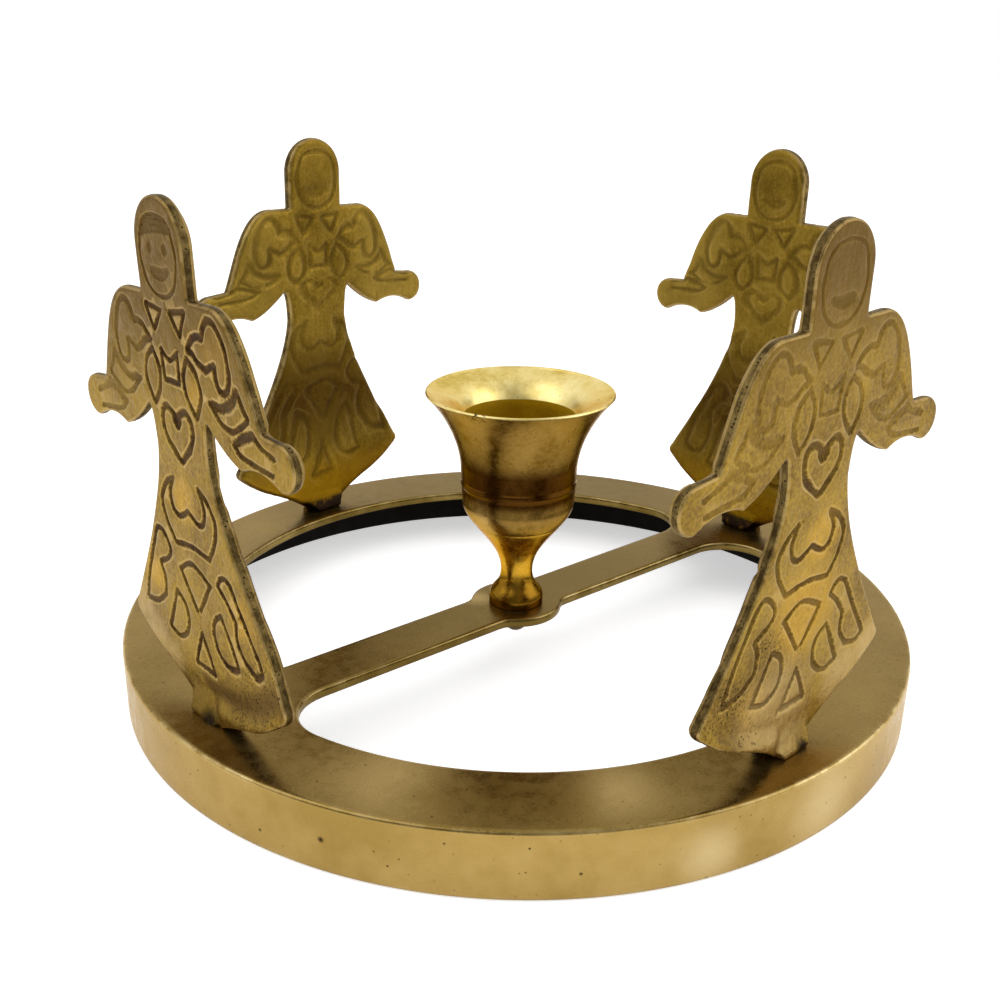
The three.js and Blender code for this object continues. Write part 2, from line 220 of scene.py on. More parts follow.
# Ornament: each motif is a list of strokes, each stroke a few points (across, up).
# The first motifs are whole; those of MIRRORED_MOTIFS are repeated on the other half.
WHOLE_MOTIFS = {
    "face": [[(-5.6, 87.6), (-6.1, 84.6), (-5.0, 80.6), (-2.6, 78.5), (0, 78.0), (2.6, 78.5), (5.0, 80.6),
              (6.1, 84.6), (5.4, 88.2)]],
    "hood": [[(-5.8, 86.8), (-4.9, 89.4), (-2.8, 90.9), (0, 91.3), (2.8, 90.9), (4.9, 89.4), (5.8, 86.8)]],
    "fringe": [[(-5.6, 87.9), (-2.6, 88.6), (0, 88.9), (2.6, 89.0), (5.2, 88.9)],
               [(-5.0, 88.8), (-2.0, 89.6), (1.0, 89.9), (4.6, 89.7)],
               [(-4.2, 89.7), (0, 90.8), (3.6, 90.6)]],
    "mouth": [[(-2.9, 82.4), (0, 82.2), (2.9, 82.4)],
              [(-2.7, 82.0), (-1.4, 81.3), (0, 81.1), (1.4, 81.3), (2.7, 82.0)]],
    "pocket": [[(-2.9, 69.0), (-2.45, 63.7)], [(-2.45, 63.7), (2.45, 63.7)], [(2.45, 63.7), (2.9, 69.0)],
               [(-2.9, 69.0), (-1.4, 68.0), (0, 67.3), (1.4, 68.0), (2.9, 69.0)]],
    "bowl": [[(-6.0, 32.9), (0, 33.6), (6.0, 32.9)]],
    "fan": [[(-5.6, 27.8), (-2.4, 29.7), (0.4, 29.8), (5.2, 27.6)], [(-5.2, 27.5), (-0.8, 20.9)],
            [(4.9, 27.5), (0.4, 21.2)]],
    "heart_notch": [[(-1.2, 56.9), (0, 55.6), (1.2, 56.9)], [(-0.6, 57.0), (0.6, 57.0)]],
    "hem_triangle": [[(0, 16.7), (-3.4, 9.7)], [(-3.4, 9.7), (3.4, 9.7)], [(3.4, 9.7), (0, 16.7)]],
    "right_stocking": [[(7.9, 28.6), (9.0, 30.1), (10.8, 30.7), (12.4, 29.9)],
                       [(12.4, 29.9), (15.6, 24.6), (20.8, 16.7)], [(20.8, 16.7), (18.4, 15.4), (15.2, 16.2)],
                       [(15.2, 16.2), (12.9, 19.4), (13.0, 23.2)], [(13.0, 23.2), (10.6, 26.4), (7.9, 28.6)]],
    "left_stocking": [[(-14.6, 31.6), (-12.8, 34.0), (-10.6, 33.6), (-8.7, 31.0), (-10.0, 28.7),
                       (-13.6, 26.9)],
                      [(-13.6, 26.9), (-12.4, 24.2), (-12.7, 20.6)],
                      [(-12.7, 20.6), (-16.4, 18.0), (-21.2, 17.2)],
                      [(-21.2, 17.2), (-18.2, 24.6), (-14.6, 31.6)]],
}
MIRRORED_MOTIFS = {
    "eye": [[(2.6, 86.3), (2.6, 85.3)], [(2.2, 85.9), (3.0, 85.7)]],
    "collar": [[(1.4, 75.6), (6.7, 76.3)], [(6.7, 76.3), (4.4, 72.0)], [(4.4, 72.0), (1.4, 75.6)]],
    "shoulder": [[(6.4, 70.1), (8.4, 72.2), (10.2, 72.9), (11.8, 72.6)],
                 [(11.8, 72.6), (12.5, 74.6), (14.2, 76.0), (16.4, 75.4), (18.5, 72.6), (19.4, 69.0),
                  (18.8, 65.8), (17.2, 64.7), (15.6, 65.3), (15.0, 67.2), (15.1, 68.9)],
                 [(15.1, 68.9), (13.8, 68.5), (12.1, 67.6)],
                 [(12.1, 67.6), (9.6, 68.6), (8.2, 69.7), (6.4, 70.1)]],
    "sleeve_top": [[(12.8, 62.1), (16.0, 62.0), (19.4, 63.6), (21.0, 65.6)]],
    "sleeve": [[(21.2, 66.1), (22.4, 63.6), (24.0, 61.6)],
               [(24.0, 61.6), (21.8, 60.2), (19.0, 58.8), (15.8, 59.4), (12.2, 62.3)]],
    "cuff_top": [[(19.4, 56.9), (21.6, 58.3), (24.5, 59.3)]],
    "cuff": [[(24.7, 59.8), (26.6, 58.2), (30.6, 56.8)],
             [(18.8, 56.9), (20.8, 55.2), (25.0, 54.5), (30.0, 54.0)]],
    "leaf": [[(5.9, 68.7), (8.6, 66.4), (9.5, 62.8), (7.4, 58.6)],
             [(7.4, 58.6), (4.9, 61.6), (4.2, 65.2), (5.9, 68.7)]],
    "heart": [[(0, 56.9), (1.6, 58.3), (3.5, 58.9), (4.9, 57.6), (5.1, 55.2), (3.6, 52.4), (0, 49.4)]],
    "bowl_side": [[(4.5, 45.5), (7.4, 43.8), (9.4, 40.6), (8.6, 36.8), (6.0, 32.9)],
                  [(4.5, 45.5), (6.0, 42.4), (5.4, 39.6), (3.6, 38.6), (1.6, 39.4), (0, 40.4)]],
    "drop": [[(8.0, 22.8), (5.4, 20.9), (4.6, 18.0), (5.8, 14.9), (9.0, 13.1), (12.6, 14.0)],
             [(12.6, 14.0), (10.6, 17.8), (8.0, 22.8)]],
}
# Parts of the face that are worn away on most of the castings
WORN_MOTIFS = ("fringe", "eye")
# Lines that are wider or finer than the others
LINE_SHARES = {"heart": 1.25, "shoulder": 1.1, "sleeve_top": 1.6, "cuff_top": 1.6, "eye": 1.1, "face": 0.75,
               "hood": 0.6, "collar": 0.9, "pocket": 0.95}

# Wear and painted shade of each angel's outer face: which of its lines are left and how dark, the painted
# shade of its foot and head, the lip and sag of its hem, its painted shadow and dark solder at the foot, and
# its golden, pale, pitted, plain and deep places (across, up, radius)
HIDDEN_WEAR_AND_SHADE = {"lines": "worn_line", "dark": 0.8, "foot": 0.5, "lip": 0, "sag": 0, "upper": (56, 90),
               "soot": ((0, 0.6, 3.4),), "plain": ()}
OUTER_WEAR_AND_SHADE = (
    HIDDEN_WEAR_AND_SHADE | {"gold": ((3, 40, 9), (-14, 20, 8)), "pale": ((22, 15, 6),), "pits": ((-18, 16, 8),),
                   "deep": ((-10, 68, 12), (12, 20, 9))},
    HIDDEN_WEAR_AND_SHADE | {"gold": ((0, 30, 10), (15, 70, 6)), "pale": ((-22, 15, 6),), "pits": ((18, 16, 8),),
                   "deep": ((0, 54, 8), (-12, 20, 9))},
    {"lines": "line", "dark": 0.86, "foot": 0.75, "lip": 1, "sag": 4.8, "upper": (48, 82),
     "soot": ((2.5, 0.6, 3.6),), "gold": ((15, 71, 6), (-1, 42, 6), (15, 24, 6), (-16, 24, 5), (7, 63, 4)),
     "pale": ((-23, 16, 7), (-19, 10, 7), (-13, 6.5, 6)), "pits": ((19, 13, 9), (12, 8, 5), (23, 17, 5)),
     "plain": ((-24, 62, 14), (-15, 70, 10), (0, 85, 12)),
     "deep": ((13, 70, 10), (1, 57, 4), (2, 51, 6), (8, 39, 7), (15, 22, 10), (3, 64, 5), (0, 12, 5))},
    {"lines": "worn_line", "dark": 0.58, "foot": 0.0, "lip": -1, "sag": 0, "upper": (64, 88),
     "soot": ((2.0, 0.2, 2.8),), "gold": ((0, 28, 12), (3, 41, 7), (-12, 14, 6)),
     "pale": ((23, 13, 7), (-6, 9, 15), (15, 9, 9)), "pits": ((-20, 17, 9), (-9, 25, 6), (-14, 8, 6)),
     "plain": ((0, 84, 20), (20, 66, 22), (-20, 66, 22), (0, 70, 12)), "deep": ((0, 38, 8), (-4, 50, 5))},
)
SPOT_CORE = 0.3
EDGE_WEAR = 0.55
PLAIN_FADE = 0.8
DEEP_DARK = 0.25
UPPER_SHADE = 0.88
FOOT_SHADE = 0.5
FOOT_SHADE_UP = (9, 4)
FOOT_SHADE_ACROSS = (15, 7)
SCOOP_SHADE = 1.2
SCOOP_RISE = (1.2, 3.0)
SCOOP_FALL = (7.0, 4.0)
SCOOP_ACROSS = (-5, 2)

# Wear, painted shade and painted shadow at the foot of the inner faces, by height and by distance from the
# middle
INNER_DARK = 0.4
INNER_HEM = (19, 6)
# painted shadow along the foot of the inner faces, where they meet the ring
INNER_FOOT_SHADOW = (4.0, 2.4)
INNER_SIDES = (9, 18)
INNER_UPPER = (46, 54)
INNER_FACE = (74, 80)
INNER_FACE_FADE = 0.6
INNER_HEAD = (74, 84)
INNER_MIDDLE = 31
INNER_MIDDLE_SPREAD = 13
INNER_SHADES = {"middle": 0.9, "head": 0.25, "chest": 0.13}

# In all brasses a source is a noise, a blend of sources, a painted value of the mesh, or the height above
# the table in millimetres. (source, low, high, least, greatest) is a smooth step along a source, from 0 to 1
# where the last two are left out. A place is (x, y, z, radius) in millimetres: 1 at its middle, 0 at its
# radius.

# Noises: scale, detail, roughness, and the stretch and turn of fine lines; specks have a scale alone
RELIEF_NOISES = {
    "patches": (75.0, 3.0, 0.55), "mottle": (420.0, 5.0, 0.6), "fine": (1500.0, 4.0, 0.6),
    "grain": (2600.0, 3.0, 0.55), "sanding": (1700.0, 2.0, 0.5, (1.0, 1.0, 0.08), (0.8, 0.8, 0.0)),
    "specks": (1500.0,),
}
CAST_NOISES = {
    "patches": (38.0, 3.0, 0.55), "mottle": (300.0, 5.0, 0.6), "grain": (3000.0, 3.0, 0.55),
    "filing": (700.0, 2.0, 0.5, (0.05, 0.05, 1.6)), "specks": (520.0,),
}
TURNED_NOISES = {
    "patches": (95.0, 3.0, 0.55), "mottle": (520.0, 5.0, 0.6), "fine": (1300.0, 4.0, 0.6),
    "lathe": (2400.0, 2.0, 0.6, (0.01, 0.01, 1.0)), "specks": (430.0,),
}
SCREW_NOISES = {"mottle": (900.0, 4.0, 0.55), "grain": (2800.0, 4.0, 0.55)}

# Inside an engraved line, in half widths from its middle: the dirt reaches further on the inner faces
IN_LINE = ("ragged", ("inner", 0.0, 1.0, 1.12, 2.0), ("inner", 0.0, 1.0, 0.72, 0.2))

# Blends: a start, and the weight of each source that is added to it
RELIEF_BLENDS = {
    "tone": (-0.38, {"patches": 0.7, "mottle": 0.3, "sanding": 0.16, "fine": 0.6}),
    "ragged": (-0.45, {"line": 1.0, "fine": 0.9}),
    "rough": (0.0, {("mottle", 0.3, 0.7, 0.34, 0.5): 1.0, IN_LINE: 0.12}),
}
RELIEF_BUMPS = (0.0, {"grain": 0.35, "sanding": 0.5, "mottle": 2.2, "pitted": -1.5})
CAST_BLENDS = {
    "tone": (0.0, {"patches": 0.75, "mottle": 0.25}),
    "band_tone": (0.0, {"patches": 0.5, "mottle": 0.15, "grain": 0.35}),
    "rough": (0.0, {("mottle", 0.3, 0.7, 0.22, 0.36): 1.0, "hidden": 0.35}),
    "bumps": (0.0, {"grain": 0.3, "filing": 0.4}),
}
TURNED_BLENDS = {
    "tone": (-0.125, {"patches": 0.75, "mottle": 0.25, "fine": 0.25}),
    "rough": (0.0, {("mottle", 0.3, 0.7, 0.2, 0.32): 1.0, "throat": 0.08, "bore": 0.4}),
}

# Tones: a source, stops along it, and their colours
EVEN_STOPS = (0.36, 0.5, 0.64)
OUTER_TONES = ("tone", (0.32, 0.45, 0.56, 0.68), (100, 76, 26), (128, 101, 38), (145, 117, 45),
               (160, 130, 50))
# Inner faces: darker olive, partly tarnish and partly a painted dark reflection of the shaded inside of the
# ring
INNER_TONES = ("tone", (0.34, 0.48, 0.62), (106, 83, 22), (130, 104, 32), (148, 120, 42))
EDGE_TONES = ("mottle", (0.38, 0.5, 0.62), (62, 48, 24), (94, 77, 42), (122, 102, 58))
SKIRT_TONES = ("tone", EVEN_STOPS, (151, 124, 64), (166, 138, 78), (176, 149, 90))
BAND_TONES = ("band_tone", (0.34, 0.44, 0.56, 0.66), (106, 84, 32), (128, 104, 52), (144, 119, 68),
              (154, 127, 68))
WALL_TONES = ("tone", EVEN_STOPS, (84, 66, 24), (108, 88, 40), (132, 110, 58))
CUP_TONES = ("tone", EVEN_STOPS, (104, 76, 22), (136, 106, 48), (150, 118, 58))
STEM_TONES = ("tone", EVEN_STOPS, (168, 116, 24), (198, 148, 40), (212, 166, 56))
THROAT_TONES = ("tone", EVEN_STOPS, (208, 182, 96), (234, 212, 136), (244, 228, 164))
BORE_TONES = ("tone", EVEN_STOPS, (150, 116, 2), (168, 132, 4), (180, 146, 10))
SCREW_TONES = ("mottle", (0.35, 0.55, 0.7), (58, 42, 16), (88, 66, 28), (108, 84, 40))

# Layers, from the lowest up: a colour, and the sources, steps, places and shares whose product lays it on
INNER_LAYERS = {
    "pale arms": ((150, 124, 52), "pale", 0.5),
    "golden hem": ((150, 110, 3), "gold", 0.85),
}
SHADOW_LAYERS = {"inner face": ((62, 36, 0), "inner")}
DIRT_LAYERS = {
    "lighter patches": ((84, 60, 32), ("mottle", 0.42, 0.6)),
    "inner face": ((70, 50, 12), "inner"),
}
RELIEF_LAYERS = {
    "golden places": ((176, 138, 48), "gold", ("tone", 0.3, 0.6, 0.45, 0.95)),
    "pale places": ((178, 152, 100), "pale", 0.6),
    # inner faces in their own darker tones: tarnish and a painted dark reflection
    "inner face": ("inside", "inner"),
    "shaded places": ("shadow", "shade", ("tone", 0.35, 0.55, 0.6, 1.0)),
    # painted highlights on the raised edges beside the engraved lines
    "painted highlights beside the lines": ((196, 166, 104), ("ragged", 1.05, 1.3), ("ragged", 1.9, 1.4),
                         ("inner", 0.0, 1.0, 0.55, 0.0), "dark"),
    # painted highlights on the ridges between the lines of the inner faces
    "painted highlights on the inner ridges": ((176, 148, 78), ("ragged", 1.6, 2.0), ("ragged", 3.0, 2.4), "inner",
                     ("patches", 0.42, 0.58, 0.0, 0.12)),
    "lines": ("dirt", IN_LINE, "dark"),
    "pale edges": ((170, 144, 92), ("edge", 0.28, 0.5), ("mottle", 0.36, 0.56, 0.2, 0.75)),
    "rough edges": (EDGE_TONES, ("edge", 0.72, 0.92)),
    "pits": ((34, 27, 20), "pitted"),
    # painted shadow under the hem at the foot, with dark solder
    "soot": ((30, 18, 10), "soot", ("mottle", 0.36, 0.5, 0.75, 1.0)),
}
BAND_LAYERS = {
    # far side of the band: tarnish, and painted darker as a dim reflection
    "far side": ((112, 92, 44), ((50.0, 50.0, 13.5, 110.0),), 0.85),
    "crossbar": ((104, 84, 34), ((0.0, 0.0, 13.5, 90.0),), 0.6),
    # pale places: worn spots, and a painted pale reflection at the back-left of the boss
    "pale places": ((188, 160, 102), ((-64.0, -38.0, 13.5, 20.0), (-36.0, -66.0, 13.5, 12.0),
                                      (-6.5, 6.0, 13.5, 5.0)), 0.7),
    "stains": ((122, 96, 38), ((-51.4, -54.3, 13.5, 17.0), (-60.0, -49.1, 13.5, 13.0),
                               (-44.4, -61.9, 13.5, 13.0)), ("mottle", 0.35, 0.6, 0.35, 0.6)),
}
CAST_LAYERS = {
    # painted sheen on the front of the skirt
    "painted sheen on the skirt": ((212, 192, 146), ((-27.2, -80.5, 5.0, 9.0), (-1.5, -85.0, 5.8, 12.0)), 0.5),
    # the band on upward faces: tarnish, and painted darker as a dim reflection
    "band on top": ("band", ("upward", 0.55, 0.92)),
    "walls": (WALL_TONES, "wall"),
    "specks": ((88, 66, 34), ("specks", 0.16, 0.07), ("mottle", 0.48, 0.6)),
    "worn edges": ((214, 192, 138), "edge", ("patches", 0.42, 0.6, 0.25, 1.0), ("mottle", 0.38, 0.6)),
    "skirt spots": ((24, 18, 12), ((-76.3, -37.5, 6.6, 0.9), (-47.6, -70.4, 5.3, 0.5),
                                   (-81.0, -25.6, 4.0, 0.5))),
    # painted shadow in the gaps under the feet, with dark solder
    "painted shadow and solder at the feet": ((22, 12, 12), ((-73.0, -3.1, 13.5, 2.2), (-4.3, -77.0, 13.5, 2.2))),
    # painted shade: the raw casting inside the skirt and under the plate, painted nearly black
    "painted shade on the raw casting": ((14, 10, 6), "hidden"),
}
CUP_LAYERS = {
    "golden stem": (STEM_TONES, ("height", 36.0, 29.0)),
    # brown band: tarnish, and a painted dark reflection
    "brown band of tarnish and painted reflection": ((68, 36, 5), ("height", 38.5, 40.5), ("height", 50.0, 46.0), 0.9),
    # painted dark reflections on the flare
    "painted dark reflections": ((60, 32, 4), ((9.4, -8.1, 46.0, 11.0), (-12.4, -0.4, 46.0, 8.0)), 0.6),
    # painted pale reflection on the upper left of the wall
    "pale place": ((196, 160, 92), ((-10.9, -1.5, 36.0, 6.0),), 0.7),
    "brown foot": ((112, 80, 22), ("height", 22.0, 18.0), 0.8),
    "throat": (THROAT_TONES, "throat"),
    "bore": (BORE_TONES, "bore"),
    "specks": ((52, 30, 14), ("specks", 0.14, 0.06), ("mottle", 0.5, 0.6)),
    "flaw in the rim": ((24, 14, 8), ((-18.6, -7.6, 62.1, 4.2),), ("fine", 0.5, 0.56)),
    "marks": ((24, 14, 8), ((-8.7, -9.1, 49.0, 0.7), (-8.0, -9.9, 48.6, 0.5))),
}
# Lowest colours of shaded places and of the lines, and where pits show
SHADOW = (88, 64, 25)
DIRT = (56, 36, 18)
PIT_SIZES = ("specks", 0.36, 0.2)
PITS_ON_FACE = ("pits", ("mottle", 0.4, 0.55))
PITS_ON_EDGE = (("edge", 0.7, 0.95), ("mottle", 0.42, 0.6))

# Metal, specular level and roughness; bumps have a strength and a distance in metres
RELIEF_METAL = 0.95
CAST_METAL = ("hidden", 0.0, 1.0, 0.95, 0.1)
CUP_METAL = ("bore", 0.0, 1.0, 1.0, 0.5)
SCREW_METAL = 1.0
CAST_SPECULAR = 0.1
SCREW_ROUGHNESS = ("mottle", 0.3, 0.7, 0.3, 0.5)
RELIEF_BUMP = (0.45, 0.0003)
CAST_BUMP = (0.25, 0.00015)
LATHE_BUMP = (0.12, 0.0001)
SCREW_BUMP = (0.2, 0.0001)
# Brass keeps some of its colour where it is seen at a flat angle
FLAT_ANGLE_BRASS = (0.93, 0.86, 0.75, 1.0)
FLAT_ANGLE_POLISHED = (0.85, 0.68, 0.45, 1.0)

# Studio, in metres: the camera is fitted to the photograph
CAMERA_PLACE = (-0.16418, -0.18284, 0.13354)
CAMERA_FORWARD = (0.61097, 0.70284, -0.36433)
CAMERA_UP = (0.22632, 0.28594, 0.93114)
CAMERA_LENS = 43.55
CAMERA_SENSOR = 36.0
CAMERA_NEAR = 0.01
CAMERA_FAR = 20.0
FLOOR_RADIUS = 4.0
FLOOR_STEPS = 96
FLOOR_NOISE = (3.0, 4.0, 0.55)
FLOOR_LEVELS = ((0.0, 0.92), (1.0, 0.94))
FLOOR_ROUGHNESS = 0.9
FLOOR_GLOW = 0.55
WHITE = (1.0, 1.0, 1.0, 1.0)
# Place, side and power of each lamp
LAMPS = {"key": ((-0.5, 0.1, 0.75), 0.8, 2.2), "fill": ((0.45, -0.5, 0.5), 0.7, 1.9)}
LAMP_TARGET = (0, 0, 0.05)
# Brightness of the studio around the holder: 0.5 is behind the camera, 0.75 to its right, 0 and 1 ahead of it
BEHIND_CAMERA = (-0.656, -0.755, 0.0)
RIGHT_OF_CAMERA = (0.755, -0.656, 0.0)
STUDIO_LEVELS = ((0.0, 1.0), (0.2, 1.0), (0.3, 0.8), (0.36, 0.25), (0.42, 0.2), (0.5, 0.28), (0.58, 0.5),
                 (0.68, 0.7), (0.8, 1.0), (1.0, 1.0))

# Edges sharper than this many degrees stay sharp
SHARP_ANGLES = {"casting": 50, "cup": 35, "screw": 40, "angel": 60}


# Plain curves, as arrays of points

def arc(centre, radius, start, end, count):
    angles = np.linspace(start, end, count)
    return np.column_stack((centre[0] + radius * np.cos(angles), centre[1] + radius * np.sin(angles)))


def circle(steps):
    return arc((0, 0), 1.0, 0, 4 * QUARTER_TURN, steps + 1)[:-1]


def bezier(*control, count=40):
    t = np.linspace(0.0, 1.0, count)[:, None]
    degree = len(control) - 1
    total = np.zeros((count, 2))
    for k, point in enumerate(control):
        weight = math.comb(degree, k) * t ** k * (1 - t) ** (degree - k)
        total += weight * np.array(point, float)
    return total


def spline(points, step):
    """A smooth curve through a few points."""
    p = np.array(points, float)
    if len(p) == 2:
        count = max(2, int(np.linalg.norm(p[1] - p[0]) / step))
        return p[0] + np.linspace(0, 1, count)[:, None] * (p[1] - p[0])
    ends = np.vstack((2 * p[0] - p[1], p, 2 * p[-1] - p[-2]))
    runs = []
    for a, b, c, d in zip(ends, ends[1:], ends[2:], ends[3:]):
        count = max(3, int(np.linalg.norm(c - b) / step))
        t = np.linspace(0, 1, count)[:, None]
        runs.append(0.5 * (2 * b + (c - a) * t + (2 * a - 5 * b + 4 * c - d) * t ** 2
                           + (3 * b - 3 * c + d - a) * t ** 3))
    return np.vstack(runs)


def resampled(loop, step):
    """A closed loop walked in even steps."""
    closed = np.vstack((loop, loop[:1]))
    lengths = np.concatenate(([0.0], np.cumsum(np.linalg.norm(np.diff(closed, axis=0), axis=1))))
    places = np.linspace(0.0, lengths[-1], int(lengths[-1] / step), endpoint=False)
    return np.column_stack([np.interp(places, lengths, closed[:, axis]) for axis in (0, 1)])


def with_mirror_image(right, step):
    """A whole loop from its right half, which starts and ends on the middle line."""
    left = right[::-1] * (-1, 1)
    return resampled(np.vstack((right, left[1:-1])), step)


def unit(vectors):
    return vectors / np.maximum(np.linalg.norm(vectors, axis=1), SAME_POINT)[:, None]


def outward_normals(loop):
    """Unit normals of a counter-clockwise loop, pointing out of it."""
    along = unit(np.roll(loop, -1, axis=0) - np.roll(loop, 1, axis=0))
    return np.column_stack((along[:, 1], -along[:, 0]))


def inside(points, loop):
    """Which points lie inside a closed loop."""
    x, y = points[:, 0], points[:, 1]
    result = np.zeros(len(points), bool)
    for (x0, y0), (x1, y1) in zip(loop, np.roll(loop, -1, axis=0)):
        if y0 == y1:
            continue
        crosses = (y0 > y) != (y1 > y)
        result ^= crosses & (x < (x1 - x0) * (y - y0) / (y1 - y0) + x0)
    return result


def smoothstep(low, high, value):
    t = np.clip((value - low) / (high - low), 0.0, 1.0)
    return t * t * (3 - 2 * t)


# Meshes

def linked(name, data):
    thing = bpy.data.objects.new(name, data)
    bpy.context.scene.collection.objects.link(thing)
    return thing


class Surface:
    """Points, faces and painted values collected ring by ring, in millimetres."""

    def __init__(self):
        self.points = []
        self.faces = []
        self.paint = {}

    def add(self, points, **paint):
        start = len(self.points)
        self.points.extend(tuple(p) for p in points)
        for name, value in paint.items():
            values = self.paint.setdefault(name, [0.0] * start)
            values.extend([0.0] * (start - len(values)))
            values.extend(np.broadcast_to(value, len(points)).tolist())
        return np.arange(start, len(self.points))

    def bridge(self, lower, upper):
        for i in range(len(lower)):
            j = (i + 1) % len(lower)
            self.faces.append((int(lower[i]), int(lower[j]), int(upper[j]), int(upper[i])))

    def bridge_all(self, rings):
        for lower, upper in zip(rings, rings[1:]):
            self.bridge(lower, upper)

    def fan(self, ring, centre):
        for i in range(len(ring)):
            self.faces.append((int(ring[i]), int(ring[(i + 1) % len(ring)]), int(centre)))

    def face(self, corners, flip):
        corners = [int(k) for k in corners]
        self.faces.append(tuple(reversed(corners)) if flip else tuple(corners))

    def build(self, name, material, kind):
        mesh = bpy.data.meshes.new(name)
        mesh.from_pydata([(x * MM, y * MM, z * MM) for x, y, z in self.points], [], self.faces)
        for label, values in self.paint.items():
            values = values + [0.0] * (len(self.points) - len(values))
            mesh.attributes.new(label, "FLOAT", "POINT").data.foreach_set("value", values)
        mesh.shade_smooth()
        mesh.set_sharp_from_angle(angle=math.radians(SHARP_ANGLES[kind]))
        mesh.materials.append(material)
        mesh.validate()
        return linked(name, mesh)


def flat_ring(loop, height):
    return np.column_stack((loop, np.full(len(loop), height)))


def turned(surface, profile, steps, height=0.0, **paint):
    """Turns (radius, height) points about Z; a first or last point on the axis closes the end."""
    rings = []
    for i, (radius, z) in enumerate(profile):
        values = {name: value[i] for name, value in paint.items()}
        if radius == 0:
            rings.append(surface.add([(0, 0, z + height)], **values)[0])
        else:
            rings.append(surface.add(flat_ring(circle(steps) * radius, z + height), **values))
    for lower, upper in zip(rings, rings[1:]):
        if np.ndim(lower) == 0:
            surface.fan(upper[::-1], lower)
        elif np.ndim(upper) == 0:
            surface.fan(lower, upper)
        else:
            surface.bridge(lower, upper)


# Node materials

def linear(red, green, blue):
    """A colour as the eye reads it, 0 to 255, in linear light."""
    def channel(value):
        value /= 255
        return value / 12.92 if value <= 0.04045 else ((value + 0.055) / 1.055) ** 2.4
    return (channel(red), channel(green), channel(blue), 1.0)


class Nodes:
    """Short names for the nodes of one node tree."""

    def __init__(self, tree):
        self.tree = tree

    def value(self, item):
        return item

    def put(self, socket, item):
        value = self.value(item)
        if isinstance(value, bpy.types.NodeSocket):
            self.tree.links.new(value, socket)
        else:
            socket.default_value = value

    def node(self, kind, output=0, settings=None, **inputs):
        node = self.tree.nodes.new(kind)
        for name, value in (settings or {}).items():
            setattr(node, name, value)
        for name, value in inputs.items():
            self.put(node.inputs[name.replace("_", " ")], value)
        return node.outputs[output]

    def operation(self, kind, operation, first, second, output=0):
        node = self.tree.nodes.new(kind)
        node.operation = operation
        self.put(node.inputs[0], first)
        self.put(node.inputs[1], second)
        return node.outputs[output]

    def math(self, operation, first, second):
        return self.operation("ShaderNodeMath", operation, first, second)

    def vector(self, operation, first, second):
        return self.operation("ShaderNodeVectorMath", operation, first, second, "Value")

    def ramp(self, source, stops):
        node = self.tree.nodes.new("ShaderNodeValToRGB")
        elements = node.color_ramp.elements
        while len(elements) < len(stops):
            elements.new(0.5)
        for element, (position, colour) in zip(elements, stops):
            element.position = position
            element.color = colour
        self.put(node.inputs[0], source)
        return node.outputs[0]

    def greys(self, source, levels):
        return self.ramp(source, [(position, (level, level, level, 1)) for position, level in levels])


